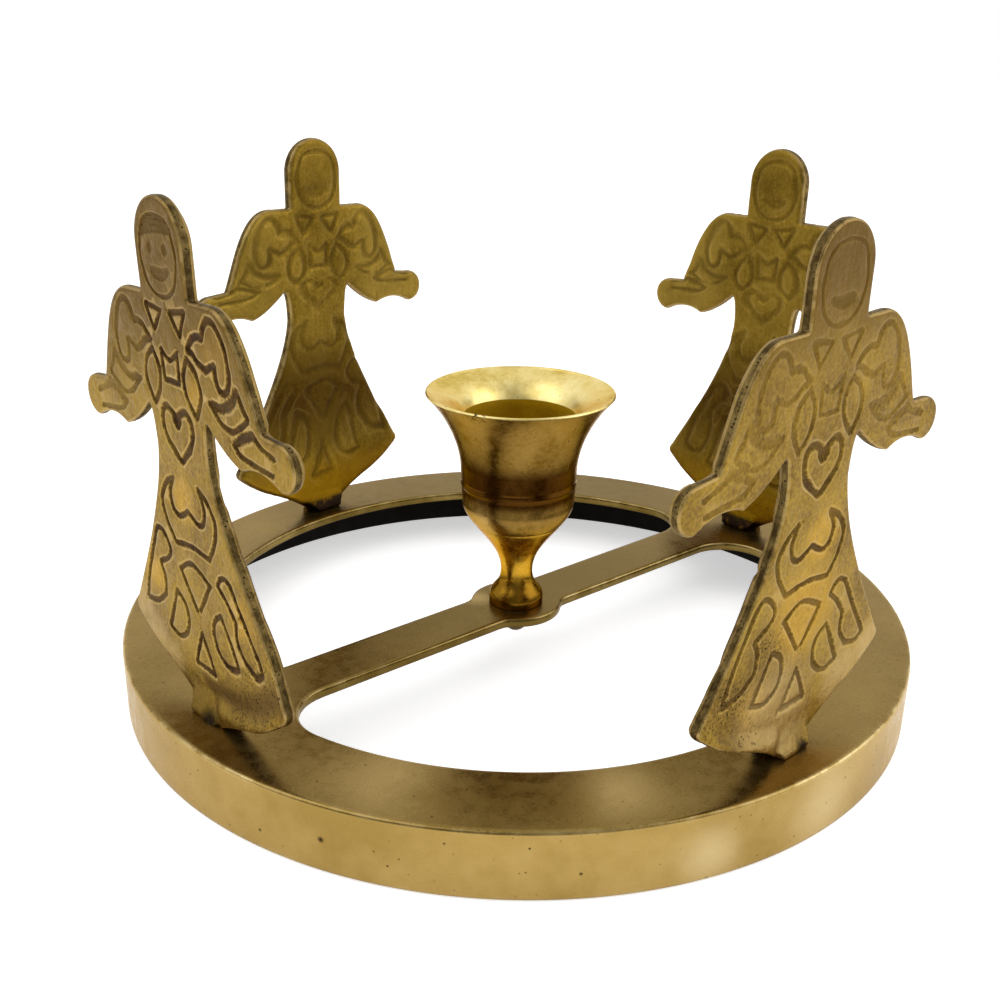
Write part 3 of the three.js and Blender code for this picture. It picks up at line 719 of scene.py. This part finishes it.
class Paint(Nodes):
    """The nodes of one material, with its noises and blends as sources."""

    def __init__(self, name, noises, blends=None):
        self.material = bpy.data.materials.new(name)
        self.material.use_nodes = True
        super().__init__(self.material.node_tree)
        self.sources = {}
        self.shader = self.tree.nodes["Principled BSDF"]
        self.place = self.node("ShaderNodeTexCoord", "Object")
        self.sources["height"] = self.math("DIVIDE", self.z_of(self.place), MM)
        self.sources["upward"] = self.z_of(self.node("ShaderNodeNewGeometry", "Normal"))
        for source, sizes in noises.items():
            self.sources[source] = self.noise(*sizes) if len(sizes) > 1 else self.specks(*sizes)
        for source, blend in (blends or {}).items():
            self.sources[source] = self.total(*blend)

    def value(self, item):
        """The output that a source's name, a step along a source or some places stand for."""
        if isinstance(item, str):
            if item not in self.sources:
                self.sources[item] = self.node("ShaderNodeAttribute", "Fac", {"attribute_name": item})
            return self.sources[item]
        if isinstance(item, tuple) and isinstance(item[0], str):
            return self.step(*item)
        if isinstance(item, tuple) and isinstance(item[0], tuple):
            return self.strongest(item)
        return item

    def times(self, first, *others):
        for other in others:
            first = self.math("MULTIPLY", first, other)
        return first

    def total(self, start, weights):
        for source, weight in weights.items():
            start = self.math("ADD", start, self.times(source, weight))
        return start

    def step(self, source, low, high, least=0.0, greatest=1.0):
        node = self.tree.nodes.new("ShaderNodeMapRange")
        node.interpolation_type = "SMOOTHSTEP"
        for socket, item in zip(node.inputs, (source, low, high, least, greatest)):
            self.put(socket, item)
        return node.outputs[0]

    def z_of(self, vector):
        return self.node("ShaderNodeSeparateXYZ", "Z", Vector=vector)

    def noise(self, scale, detail, roughness, stretch=(1, 1, 1), turn=(0, 0, 0)):
        where = self.node("ShaderNodeMapping", Vector=self.place, Scale=stretch, Rotation=turn)
        return self.node("ShaderNodeTexNoise", Vector=where, Scale=scale, Detail=detail, Roughness=roughness)

    def specks(self, scale):
        """Distance to the nearest of many scattered points."""
        return self.node("ShaderNodeTexVoronoi", Vector=self.place, Scale=scale)

    def strongest(self, places):
        """1 at the middle of each place, falling to 0 at its radius."""
        total = 0.0
        for x, y, z, radius in places:
            gap = self.vector("DISTANCE", self.place, (x * MM, y * MM, z * MM))
            total = self.math("MAXIMUM", self.step(gap, radius * MM, 0.0), total)
        return total

    def colour(self, item):
        """Tones, a colour in linear light, or a source that is a colour already."""
        if not isinstance(item, tuple):
            return item
        if not isinstance(item[0], str):
            return linear(*item)
        source, stops, *colours = item
        return self.ramp(source, [(stop, linear(*colour)) for stop, colour in zip(stops, colours)])

    def layered(self, base, layers):
        base = self.colour(base)
        for colour, *factors in layers.values():
            node = self.tree.nodes.new("ShaderNodeMix")
            node.data_type = "RGBA"
            self.put(node.inputs["Factor"], self.times(*factors))
            self.put(node.inputs[6], base)
            self.put(node.inputs[7], self.colour(colour))
            base = node.outputs[2]
        return base

    def bump(self, height, strength, distance):
        return self.node("ShaderNodeBump", Height=height, Strength=strength, Distance=distance)

    def finish(self, **inputs):
        for name, value in inputs.items():
            self.put(self.shader.inputs[name.replace("_", " ")], value)
        return self.material


def relief_brass():
    """Worn cast brass: golden on the high parts, dark in the engraved lines, pitted along the edges."""
    p = Paint("relief_brass", RELIEF_NOISES, RELIEF_BLENDS)
    p.sources["inside"] = p.layered(INNER_TONES, INNER_LAYERS)
    p.sources["shadow"] = p.layered(SHADOW, SHADOW_LAYERS)
    p.sources["dirt"] = p.layered(DIRT, DIRT_LAYERS)
    pits = p.math("MAXIMUM", p.times(*PITS_ON_FACE), p.times(*PITS_ON_EDGE))
    p.sources["pitted"] = p.times(PIT_SIZES, pits)
    bumps = p.total(*RELIEF_BUMPS)
    return p.finish(Base_Color=p.layered(OUTER_TONES, RELIEF_LAYERS), Metallic=RELIEF_METAL,
                    Roughness="rough", Specular_Tint=FLAT_ANGLE_BRASS, Normal=p.bump(bumps, *RELIEF_BUMP))


def cast_brass():
    """Satin ring: light skirt with a painted sheen, and an olive-brown band on top, stained and painted
    darker as a dim reflection; the raw casting inside is painted dark as its shade.
    """
    p = Paint("cast_brass", CAST_NOISES, CAST_BLENDS)
    p.sources["band"] = p.layered(BAND_TONES, BAND_LAYERS)
    return p.finish(Base_Color=p.layered(SKIRT_TONES, CAST_LAYERS), Metallic=CAST_METAL, Roughness="rough",
                    Specular_IOR_Level=CAST_SPECULAR, Specular_Tint=FLAT_ANGLE_BRASS,
                    Normal=p.bump("bumps", *CAST_BUMP))


def turned_brass():
    """Polished cup with fine lathe lines, golden at the stem, brown with tarnish and with painted dark and
    pale reflections.
    """
    p = Paint("turned_brass", TURNED_NOISES, TURNED_BLENDS)
    return p.finish(Base_Color=p.layered(CUP_TONES, CUP_LAYERS), Metallic=CUP_METAL, Roughness="rough",
                    Specular_Tint=FLAT_ANGLE_POLISHED, Normal=p.bump("lathe", *LATHE_BUMP))


def screw_brass():
    p = Paint("screw_brass", SCREW_NOISES)
    return p.finish(Base_Color=p.colour(SCREW_TONES), Metallic=SCREW_METAL, Roughness=SCREW_ROUGHNESS,
                    Normal=p.bump("grain", *SCREW_BUMP))


# Base ring and crossbar, one casting

def opening_loop():
    """Half-moon opening on the +Y side of the crossbar, counter-clockwise."""
    ring_y = BAR_HALF_WIDTH + BAR_RING_FILLET
    ring_x = math.sqrt((OPENING_RADIUS - BAR_RING_FILLET) ** 2 - ring_y ** 2)
    ring_angle = math.atan2(ring_y, ring_x)
    boss_y = BAR_HALF_WIDTH + BAR_BOSS_FILLET
    boss_x = math.sqrt((BOSS_RADIUS + BAR_BOSS_FILLET) ** 2 - boss_y ** 2)
    boss_angle = math.atan2(boss_y, boss_x)
    right = np.vstack((
        arc((0, 0), BOSS_RADIUS, QUARTER_TURN, boss_angle, count=16),
        arc((boss_x, boss_y), BAR_BOSS_FILLET, boss_angle + math.pi, 3 * QUARTER_TURN, count=10),
        arc((ring_x, ring_y), BAR_RING_FILLET, -QUARTER_TURN, ring_angle, count=20),
        arc((0, 0), OPENING_RADIUS, ring_angle, QUARTER_TURN, count=90),
    ))
    return with_mirror_image(right, OPENING_STEP)


def plate_face(surface, outer, holes, flip):
    """Flat face between an outer ring and the holes' rings, which are already points of the surface."""
    indices = np.concatenate([outer, *holes])
    flat = [Vector(surface.points[i][:2]) for i in indices]
    edges = []
    start = 0
    for ring in (outer, *holes):
        count = len(ring)
        edges += [(start + i, start + (i + 1) % count) for i in range(count)]
        start += count
    points, _, faces, origins, _, _ = delaunay_2d_cdt(flat, edges, [], 1, SAME_POINT)
    loops = [np.array([surface.points[i][:2] for i in ring]) for ring in holes]
    centres = np.array([np.mean([points[k] for k in face], axis=0) for face in faces])
    in_hole = np.any([inside(centres, loop) for loop in loops], axis=0)
    for face, skip in zip(faces, in_hole):
        if not skip:
            surface.face([indices[origins[k][0]] for k in face], flip)


def base_casting(material):
    s = Surface()
    rings = []
    for inset, height, hidden, worn in SKIRT_SECTION:
        loop = circle(RING_STEPS) * (RING_RADIUS - inset)
        rings.append(s.add(flat_ring(loop, height), hidden=hidden, edge=worn))
    s.bridge_all(rings)
    top_holes = []
    under_holes = []
    for side in (1, -1):
        opening = opening_loop() * (side, side)
        normals = outward_normals(opening)
        walls = []
        for outside, height, hidden, worn, wall in OPENING_SECTION:
            loop = flat_ring(opening + normals * outside, height)
            walls.append(s.add(loop, hidden=hidden, edge=worn, wall=wall))
        s.bridge_all(walls)
        top_holes.append(walls[0])
        under_holes.append(walls[-1])
    plate_face(s, rings[-1], top_holes, False)
    plate_face(s, rings[0], under_holes, True)
    return s.build("base_casting", material, "casting")


# Candle cup, as (radius, height) points

def wall_point(height, rise=0.0):
    """A point of the cup's nearly upright wall."""
    share = (height - CUP_SHOULDER_HEIGHT) / (CUP_FLARE_START - CUP_SHOULDER_HEIGHT)
    return (CUP_SHOULDER_RADIUS + share * CUP_FLARE_SWELL + rise, height)


def cup_outside():
    cove = CUP_WAIST_HEIGHT - CUP_FOOT_EDGE
    stem = CUP_SHOULDER_HEIGHT - CUP_WAIST_HEIGHT
    waist = (CUP_WAIST_RADIUS, CUP_WAIST_HEIGHT)
    shoulder = (CUP_SHOULDER_RADIUS, CUP_SHOULDER_HEIGHT)
    bead_start = wall_point(CUP_BEAD_BOTTOM)
    bead_bend = wall_point(CUP_BEAD_BOTTOM + CUP_BEAD_HEIGHT / 2, 2 * CUP_BEAD_RISE)
    bead_end = wall_point(CUP_BEAD_BOTTOM + CUP_BEAD_HEIGHT)
    flare_start = np.array(wall_point(CUP_FLARE_START))
    flare = np.array((CUP_RIM_RADIUS, CUP_HEIGHT)) - flare_start
    return np.vstack((
        bezier((CUP_FOOT_RADIUS - CUP_FOOT_ROUND, 0), (CUP_FOOT_RADIUS, 0),
               (CUP_FOOT_RADIUS, CUP_FOOT_ROUND), count=5),
        bezier((CUP_FOOT_RADIUS, CUP_FOOT_EDGE), (CUP_FOOT_RADIUS, CUP_FOOT_EDGE + cove * CUP_COVE_BENDS[0]),
               (CUP_WAIST_RADIUS, CUP_WAIST_HEIGHT - cove * CUP_COVE_BENDS[1]), waist, count=24),
        bezier(waist, (CUP_WAIST_RADIUS, CUP_WAIST_HEIGHT + stem * CUP_STEM_BENDS[0]),
               (CUP_SHOULDER_RADIUS, CUP_SHOULDER_HEIGHT - stem * CUP_STEM_BENDS[1]), shoulder, count=60)[1:],
        bezier(shoulder, bead_start, count=6)[1:],
        bezier(bead_start, bead_bend, bead_end, count=11)[1:],
        bezier(bead_end, flare_start, count=8)[1:],
        bezier(flare_start, *(flare_start + flare * bend for bend in CUP_FLARE_BENDS),
               (CUP_RIM_RADIUS, CUP_HEIGHT - CUP_LIP / 2), count=28)[1:],
    ))


def cup_throat():
    lip = CUP_RIM_RADIUS - CUP_LIP
    bend = (BORE_MOUTH_RADIUS + (lip - BORE_MOUTH_RADIUS) * CUP_THROAT_BEND[0],
            CUP_HEIGHT - (CUP_HEIGHT - BORE_TOP) * CUP_THROAT_BEND[1])
    rim = (CUP_RIM_RADIUS - CUP_LIP / 2, CUP_HEIGHT - CUP_LIP / 2)
    return np.vstack((
        arc(rim, CUP_LIP / 2, 0, 3 * QUARTER_TURN / 2, count=8)[1:],
        bezier((lip, CUP_HEIGHT - CUP_LIP / 3), bend, (BORE_MOUTH_RADIUS, BORE_TOP), count=20),
    ))


def cup_bore():
    mouth = np.array((BORE_MOUTH_RADIUS, BORE_TOP)) - BORE_MOUTH_STEP
    corner = (BORE_RADIUS, BORE_FLOOR + BORE_CORNER)
    return np.vstack((
        bezier(mouth, corner, count=10),
        bezier(corner, (BORE_RADIUS, BORE_FLOOR), (BORE_RADIUS - BORE_CORNER, BORE_FLOOR), count=5)[1:],
    ))


def turned_cup(material):
    outside = cup_outside()
    line = np.exp(-((outside[:, 1] - CUP_LINE_HEIGHT) / CUP_LINE_WIDTH) ** 2)
    outside[:, 0] -= CUP_LINE_DEPTH * line
    throat = cup_throat()
    bore = cup_bore()
    profile = np.vstack(((0, 0), outside, throat, bore, (0, BORE_FLOOR)))
    part = np.repeat(("outside", "throat", "bore"), (1 + len(outside), len(throat), len(bore) + 1))
    s = Surface()
    turned(s, profile, CUP_STEPS, RING_HEIGHT, throat=1.0 * (part == "throat"), bore=1.0 * (part == "bore"))
    return s.build("turned_cup", material, "cup")


# Screws

def slotted_screw(name, sizes, place, material):
    shank, head, head_height, length = sizes
    dome = bezier((0, -head_height), (head, -head_height), (head, 0), count=14)
    s = Surface()
    turned(s, np.vstack((dome, (shank, 0), (shank, length), (0, length))), SCREW_STEPS)
    piece = s.build(name, material, "screw")
    across = head * 2 * MM
    aside = SLOT_WIDTH / 2 * MM
    low = -2 * head_height * MM
    high = (SLOT_DEPTH - head_height) * MM
    corners = [(x, y, z) for x in (-across, across) for y in (-aside, aside) for z in (low, high)]
    cutter_mesh = bpy.data.meshes.new("slot")
    cutter_mesh.from_pydata(corners, [], BOX_FACES)
    cutter = linked("slot", cutter_mesh)
    cut = piece.modifiers.new("slot", "BOOLEAN")
    cut.operation = "DIFFERENCE"
    cut.object = cutter
    cut.solver = "EXACT"
    result = bpy.data.meshes.new_from_object(piece.evaluated_get(bpy.context.evaluated_depsgraph_get()))
    piece.modifiers.clear()
    bpy.data.objects.remove(cutter)
    result.transform(Matrix.Translation(Vector(place) * MM))
    result.name = name
    piece.data = result
    return piece


# Angels

def angel_outline():
    """Counter-clockwise outline, with the foot's flat sole at the bottom."""
    foot_angle = math.asin(FOOT_TOP_HALF / HEM_RADIUS) - QUARTER_TURN
    hem_angle = math.asin(HEM_HALF / HEM_RADIUS) - QUARTER_TURN
    hem = arc((0, HEM_LIFT + HEM_RADIUS), HEM_RADIUS, foot_angle, hem_angle, count=40)
    corner_end = (SKIRT_HALF - SKIRT_CORNER_ROUND / 2, SKIRT_CORNER_HEIGHT + SKIRT_CORNER_ROUND)
    hand_x, hand_y = HAND_CENTRE
    right = np.vstack((
        ((0, 0),),
        bezier((SOLE_HALF, 0), FOOT_BEND, hem[0], count=14),
        hem[1:],
        bezier((HEM_HALF, SKIRT_CORNER_HEIGHT - SKIRT_CORNER_ROUND),
               (SKIRT_HALF + SKIRT_CORNER_ROUND / 2, SKIRT_CORNER_HEIGHT), corner_end, count=8)[1:],
        bezier(corner_end, *SKIRT_BENDS, WAIST)[1:],
        bezier(WAIST, ARMPIT_BEND, ARMPIT, count=16)[1:],
        bezier(ARMPIT, UNDERARM_BEND, CUFF, count=24)[1:],
        bezier(CUFF, CUFF_BEND, (hand_x, hand_y - HAND_RADIUS), count=24)[1:],
        arc(HAND_CENTRE, HAND_RADIUS, -QUARTER_TURN, QUARTER_TURN, count=30)[1:],
        (WRIST,),
        bezier(WRIST, *SLEEVE_BENDS, (SHOULDER_HALF, NECK_HEIGHT))[1:],
        ((HEAD_RADIUS, NECK_HEIGHT),),
        arc((0, ANGEL_HEIGHT - HEAD_RADIUS), HEAD_RADIUS, 0, QUARTER_TURN, count=30),
    ))
    return with_mirror_image(right, OUTLINE_STEP)


def ornament_runs(left_out=()):
    """Every engraved line as (points in small steps, half its width)."""
    runs = []
    for motifs, sides in ((WHOLE_MOTIFS, (1,)), (MIRRORED_MOTIFS, (1, -1))):
        for name, motif in motifs.items():
            if name in left_out:
                continue
            half = LINE_HALF_WIDTH * LINE_SHARES.get(name, 1.0)
            for stroke in motif:
                line = spline(stroke, LINE_STEP)
                runs += [(line * (side, 1), half) for side in sides]
    return runs


def points_across(runs):
    """Mesh points along the engraved lines, in rows that follow them."""
    rows = []
    for line, half in runs:
        along = unit(np.gradient(line, axis=0))
        aside = np.column_stack((along[:, 1], -along[:, 0]))
        for share in LINE_POINTS:
            rows.append(line + aside * half * share)
            rows.append(line - aside * half * share)
    return np.vstack(rows)


def nearest(points, targets):
    """Distance from each point to the nearest target, and that target's number."""
    tree = KDTree(len(targets))
    for i, (u, v) in enumerate(targets):
        tree.insert((u, v, 0), i)
    tree.balance()
    found = [tree.find((u, v, 0)) for u, v in points]
    return np.array([f[2] for f in found]), np.array([f[1] for f in found])


def thinned(points):
    """The points without those that nearly repeat an earlier one."""
    cells = {}
    for point in points:
        cells.setdefault((round(point[0] / CLOSEST_POINTS), round(point[1] / CLOSEST_POINTS)), point)
    return np.array(list(cells.values()))


def line_distance(points, runs):
    """Distance of each point to the nearest engraved line, in half widths of that line."""
    fine = [spline(line, LINE_STEP / 4) for line, _ in runs]
    halves = np.concatenate([np.full(len(line), half) for line, (_, half) in zip(fine, runs)])
    distance, number = nearest(points, np.vstack(fine))
    return np.minimum(distance / halves[number], FAR_FROM_LINES)


def dropped(points, drop):
    return points - np.column_stack((np.zeros(len(points)), drop))


def lowered(points):
    """Points of an inner face, moved to where the outer face has the same ornament."""
    up = points[:, 1]
    return dropped(points, INNER_LIFT * smoothstep(*INNER_LIFT_RISE, up) * smoothstep(*INNER_LIFT_FALL, up))


def angel_plan():
    """Flat triangle mesh of the outline, with its rim and the distances to the rim and to the lines."""
    outline = angel_outline()
    fine_outline = resampled(outline, FINE_STEP)
    runs = ornament_runs()
    worn_runs = ornament_runs(WORN_MOTIFS)
    half = SKIRT_HALF + PLAIN_MARGIN
    across = np.arange(-half, half, PLAIN_STEP)
    up = np.arange(0, ANGEL_HEIGHT + PLAIN_STEP, PLAIN_STEP * math.sqrt(3) / 2)
    grid = np.array([(u + (row % 2) * PLAIN_STEP / 2, v) for row, v in enumerate(up) for u in across])
    on_lines = points_across(runs)
    grid = grid[nearest(grid, on_lines)[0] > LINE_CLEARANCE]

    def kept(points, clearance):
        points = points[inside(points, outline)]
        return points[nearest(points, fine_outline)[0] > clearance]

    within = kept(np.vstack((on_lines, grid)), EDGE_LOOPS[-1] + LOOP_CLEARANCE)
    loops = [outline - outward_normals(outline) * inset for inset in EDGE_LOOPS]
    rows = kept(np.vstack(loops), EDGE_LOOPS[0] * LOOP_SHARE)
    every = np.vstack((outline, thinned(np.vstack((rows, within)))))
    loop = list(range(len(outline)))
    points, _, faces, origins, _, _ = delaunay_2d_cdt([Vector(p) for p in every], [], [loop], 1, SAME_POINT)
    place = {old: new for new, olds in enumerate(origins) for old in olds}
    points = np.array([tuple(p) for p in points])
    return {
        "points": points,
        "faces": faces,
        "rim": np.array([place[i] for i in loop]),
        "edge": nearest(points, fine_outline)[0],
        "line": line_distance(points, runs),
        "worn_line": line_distance(points, worn_runs),
        "inner_line": line_distance(lowered(points), worn_runs),
    }


def foot_depth(points):
    """Half-depth of the flared foot at each point, 0 away from it."""
    section = bezier((FOOT_HALF_DEPTH, FOOT_SOLE), FOOT_HOLLOW, (FOOT_HALF_CREST, FOOT_HEIGHT))
    depth = np.interp(points[:, 1], section[:, 1], section[:, 0], right=0.0)
    half = SOLE_HALF + FOOT_SPREAD * points[:, 1]
    return depth * smoothstep(half + FOOT_FADE[0], half + FOOT_FADE[1], np.abs(points[:, 0]))


def above_hem(points):
    """Height of each point above the hem's arc."""
    across = np.minimum(np.abs(points[:, 0]), HEM_HALF)
    return points[:, 1] - HEM_LIFT - HEM_RADIUS + np.sqrt(HEM_RADIUS ** 2 - across ** 2)


def hem_lip(points, side):
    """Thick lower edge on one half of a casting."""
    across = points[:, 0] * side
    start = smoothstep(LIP_START, LIP_START + LIP_FADE, across)
    end = smoothstep(LIP_END, LIP_END - LIP_FADE, across)
    return LIP_DEPTH * start * end * smoothstep(*LIP_LEVELS, above_hem(points))


def sagged(points, drop):
    """The plate's points with one half of the hem drawn down."""
    share = np.clip(points[:, 0] / SKIRT_HALF, 0, 1) ** SAG_POWER
    return dropped(points, drop * share * smoothstep(SAG_HEIGHT, 0, above_hem(points)))


def waves(points, index, amount, scale, step, start):
    offset = index * step + start
    return amount * np.array([field.noise((u * scale, v * scale, offset)) for u, v in points])


def spots(points, places):
    """1 at each place (across, up, radius), falling to 0 at its radius."""
    total = np.zeros(len(points))
    for u, v, radius in places:
        gap = np.hypot(points[:, 0] - u, points[:, 1] - v)
        total = np.maximum(total, smoothstep(radius, radius * SPOT_CORE, gap))
    return total


def outer_paint(points, index, line):
    wear_and_shade = OUTER_WEAR_AND_SHADE[index]
    across, up = points.T
    dark = wear_and_shade["dark"] * (1 - PLAIN_FADE * spots(points, wear_and_shade["plain"]))
    dark = dark + DEEP_DARK * spots(points, wear_and_shade["deep"])
    dark = np.clip(dark * (1 + waves(points, index, *OUTER_DARK_WAVES)), 0, 1)
    hem = above_hem(points)
    foot = FOOT_SHADE * smoothstep(*FOOT_SHADE_UP, up) * smoothstep(*FOOT_SHADE_ACROSS, np.abs(across))
    scoop = smoothstep(*SCOOP_RISE, hem) * smoothstep(*SCOOP_FALL, hem)
    scoop = SCOOP_SHADE * scoop * smoothstep(*SCOOP_ACROSS, across * wear_and_shade["lip"])
    lower = wear_and_shade["foot"] * np.maximum(foot, scoop)
    shade = np.maximum(lower, UPPER_SHADE * smoothstep(*wear_and_shade["upper"], up))
    # golden, pale and pitted places, and painted shadow with dark solder at the foot
    places = {name: spots(points, wear_and_shade[name]) for name in ("gold", "pale", "pits", "soot")}
    return {"line": line, "dark": dark, "shade": shade, "inner": 0.0} | places


def inner_paint(points, line):
    across, up = points.T
    sides = smoothstep(*INNER_SIDES, np.abs(across))
    upper = smoothstep(*INNER_UPPER, up)
    dark = INNER_DARK * (1 - INNER_FACE_FADE * smoothstep(*INNER_FACE, up))
    shade = np.maximum.reduce((
        INNER_SHADES["middle"] * np.exp(-((up - INNER_MIDDLE) / INNER_MIDDLE_SPREAD) ** 2),
        INNER_SHADES["head"] * smoothstep(*INNER_HEAD, up),
        INNER_SHADES["chest"] * (1 - sides) * upper,
    ))
    # the bottom of the inner face gets painted shadow where it meets the ring
    return {"line": line, "dark": dark * (1 + waves(points, 0, *INNER_DARK_WAVES)), "shade": shade,
            "gold": smoothstep(*INNER_HEM, up), "pale": sides * upper, "soot": smoothstep(*INNER_FOOT_SHADOW, up),
            "inner": 1.0}


def standing(stance, index):
    """Turns plate coordinates into places: across and up in the plate, and depth towards its front."""
    turn, twist, lean, tilt = (math.radians(degrees) for degrees in stance)
    angle = index * QUARTER_TURN + turn
    facing = angle + twist
    base = ANGEL_RADIUS * np.array((math.cos(angle), math.sin(angle)))
    outward = np.array((math.cos(facing), math.sin(facing)))
    along = np.array((-math.sin(facing), math.cos(facing)))

    def place(plane, depth):
        u, v = plane.T
        free = smoothstep(0.0, FOOT_HEIGHT, v)
        across = u * np.cos(tilt * free) + v * np.sin(tilt * free)
        up = v * np.cos(tilt * free) - u * np.sin(tilt * free)
        forward = up * np.sin(lean * free) + depth * np.cos(lean * free)
        height = up * np.cos(lean * free) - depth * np.sin(lean * free)
        flat = base + across[:, None] * along + forward[:, None] * outward
        return np.column_stack((flat, np.maximum(height, 0.0) + RING_HEIGHT))

    return place


def rounded(edge_distance, radius):
    """How far a face sinks near its rounded edge."""
    inset = np.clip(radius - edge_distance, 0, radius)
    return radius - np.sqrt(radius ** 2 - inset ** 2)


def outer_face(index, plan):
    """Rounding, raised height and painted values of an angel's outer face."""
    points = plan["points"]
    wear_and_shade = OUTER_WEAR_AND_SHADE[index]
    plain = spots(points, wear_and_shade["plain"])
    line = plan[wear_and_shade["lines"]] * (1 + (1 + plain) * waves(points, index, *OUTER_LINE_WAVES))
    groove = OUTER_DEPTH * smoothstep(*OUTER_GROOVE, line) * (1 - OUTER_PLAIN_LOSS * plain)
    raised = waves(points, index, *OUTER_FACE_WAVES) + hem_lip(points, wear_and_shade["lip"])
    return rounded(plan["edge"], OUTER_EDGE_ROUND), raised - groove, outer_paint(points, index, line)


def inner_face(index, plan):
    """Rounding, raised height and painted values of an angel's inner face."""
    points = plan["points"]
    line = plan["inner_line"] * (1 + waves(points, index, *INNER_LINE_WAVES))
    groove = INNER_DEPTH * smoothstep(*INNER_GROOVE, line)
    raised = waves(points, index, *INNER_FACE_WAVES)
    return rounded(plan["edge"], INNER_EDGE_ROUND), raised - groove, inner_paint(points, line)


def angel_relief(index, plan, material):
    points, rim = plan["points"], plan["rim"]
    place = standing(ANGEL_STANCES[index], index)
    plane = sagged(points, OUTER_WEAR_AND_SHADE[index]["sag"])
    edge = EDGE_WEAR * smoothstep(EDGE_LOOPS[-1], 0.0, plan["edge"])
    foot = foot_depth(points)

    s = Surface()
    rims = []
    for side, make_face in ((1, outer_face), (-1, inner_face)):
        rounding, raised, paint = make_face(index, plan)
        depth = np.maximum(ANGEL_HALF_THICKNESS - rounding + raised, foot - rounding * FOOT_ROUND_SHARE)
        ids = s.add(place(plane, side * depth), edge=edge, **paint)
        for face in plan["faces"]:
            s.face(ids[list(face)], side < 0)
        rims.append((ids[rim], depth[rim]))

    (front, front_depth), (back, back_depth) = rims
    normals = outward_normals(plane[rim])
    rings = [front]
    for share in RIM_SHARES:
        depth = (1 - share) * front_depth - share * back_depth
        grain = np.column_stack((points[rim], depth)) * RIM_GRAIN + (0, 0, index)
        rough = np.clip([field.noise(spot) for spot in grain], 0, 1)
        bulge = RIM_BULGE * share * (1 - share) - RIM_ROUGHNESS * rough
        loop = plane[rim] + normals * bulge[:, None]
        rings.append(s.add(place(loop, depth), edge=1.0, inner=share, line=FAR_FROM_LINES))
    rings.append(back)
    s.bridge_all(rings[::-1])
    return s.build(f"angel_{index + 1}_relief", material, "angel")


def dress(piece, node):
    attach(piece, "root")
    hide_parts(node)


def make_holder():
    dress(base_casting(cast_brass()), "base_ring")
    dress(turned_cup(turned_brass()), "candle_cup")
    screw = screw_brass()
    below = (0, 0, PLATE_UNDERSIDE)
    dress(slotted_screw("cup_screw_slotted", CUP_SCREW, below, screw), "cup_screw")
    relief = relief_brass()
    plan = angel_plan()
    for index, stance in enumerate(ANGEL_STANCES):
        dress(angel_relief(index, plan, relief), f"angel_{index + 1}")
        angle = index * QUARTER_TURN + math.radians(stance[0])
        place = (ANGEL_RADIUS * math.cos(angle), ANGEL_RADIUS * math.sin(angle), PLATE_UNDERSIDE)
        name = f"angel_screw_{index + 1}"
        dress(slotted_screw(name + "_slotted", ANGEL_SCREW, place, screw), name)


# Studio

def make_floor():
    """White floor that keeps the holder's shadow; what sees it directly sees it a little brighter."""
    p = Paint("studio_floor", {"tint": FLOOR_NOISE})
    path = p.tree.nodes.new("ShaderNodeLightPath").outputs
    seen = p.math("MAXIMUM", path["Is Glossy Ray"], path["Is Transmission Ray"])
    seen = p.math("MAXIMUM", path["Is Camera Ray"], seen)
    material = p.finish(Base_Color=p.greys("tint", FLOOR_LEVELS), Roughness=FLOOR_ROUGHNESS,
                        Emission_Color=WHITE, Emission_Strength=p.times(seen, FLOOR_GLOW))
    mesh = bpy.data.meshes.new("studio_floor")
    corners = flat_ring(circle(FLOOR_STEPS) * FLOOR_RADIUS, 0)
    mesh.from_pydata(corners.tolist(), [], [tuple(range(FLOOR_STEPS))])
    mesh.materials.append(material)
    linked("studio_floor", mesh)


def make_lamp(name, place, side, power):
    data = bpy.data.lights.new(name, "AREA")
    data.shape = "RECTANGLE"
    data.size = side
    data.size_y = side
    data.energy = power
    lamp = linked(name, data)
    lamp.location = place
    aim = Vector(LAMP_TARGET) - Vector(place)
    lamp.rotation_mode = "QUATERNION"
    lamp.rotation_quaternion = aim.to_track_quat("-Z", "Y")


def make_world():
    """Pale studio, darker behind the camera and to its left, which the polished cup mirrors."""
    world = bpy.data.worlds.new("studio")
    world.use_nodes = True
    n = Nodes(world.node_tree)
    direction = n.node("ShaderNodeTexCoord", "Generated")
    right = n.vector("DOT_PRODUCT", direction, RIGHT_OF_CAMERA)
    behind = n.vector("DOT_PRODUCT", direction, BEHIND_CAMERA)
    bearing = n.math("ARCTAN2", right, behind)
    share = n.node("ShaderNodeMapRange", Value=bearing, From_Min=-math.pi, From_Max=math.pi)
    n.put(n.tree.nodes["Background"].inputs["Color"], n.greys(share, STUDIO_LEVELS))
    bpy.context.scene.world = world


def make_camera():
    data = bpy.data.cameras.new("camera")
    data.sensor_width = CAMERA_SENSOR
    data.lens = CAMERA_LENS
    data.clip_start = CAMERA_NEAR
    data.clip_end = CAMERA_FAR
    camera = linked("camera", data)
    forward = Vector(CAMERA_FORWARD).normalized()
    right = forward.cross(Vector(CAMERA_UP)).normalized()
    up = right.cross(forward)
    turn = Matrix((right, up, -forward)).transposed().to_4x4()
    camera.matrix_world = Matrix.Translation(Vector(CAMERA_PLACE)) @ turn
    bpy.context.scene.camera = camera


make_camera()
make_world()
make_floor()
for name, lamp in LAMPS.items():
    make_lamp(name, *lamp)
make_holder()
bpy.context.scene.view_settings.view_transform = "Standard"
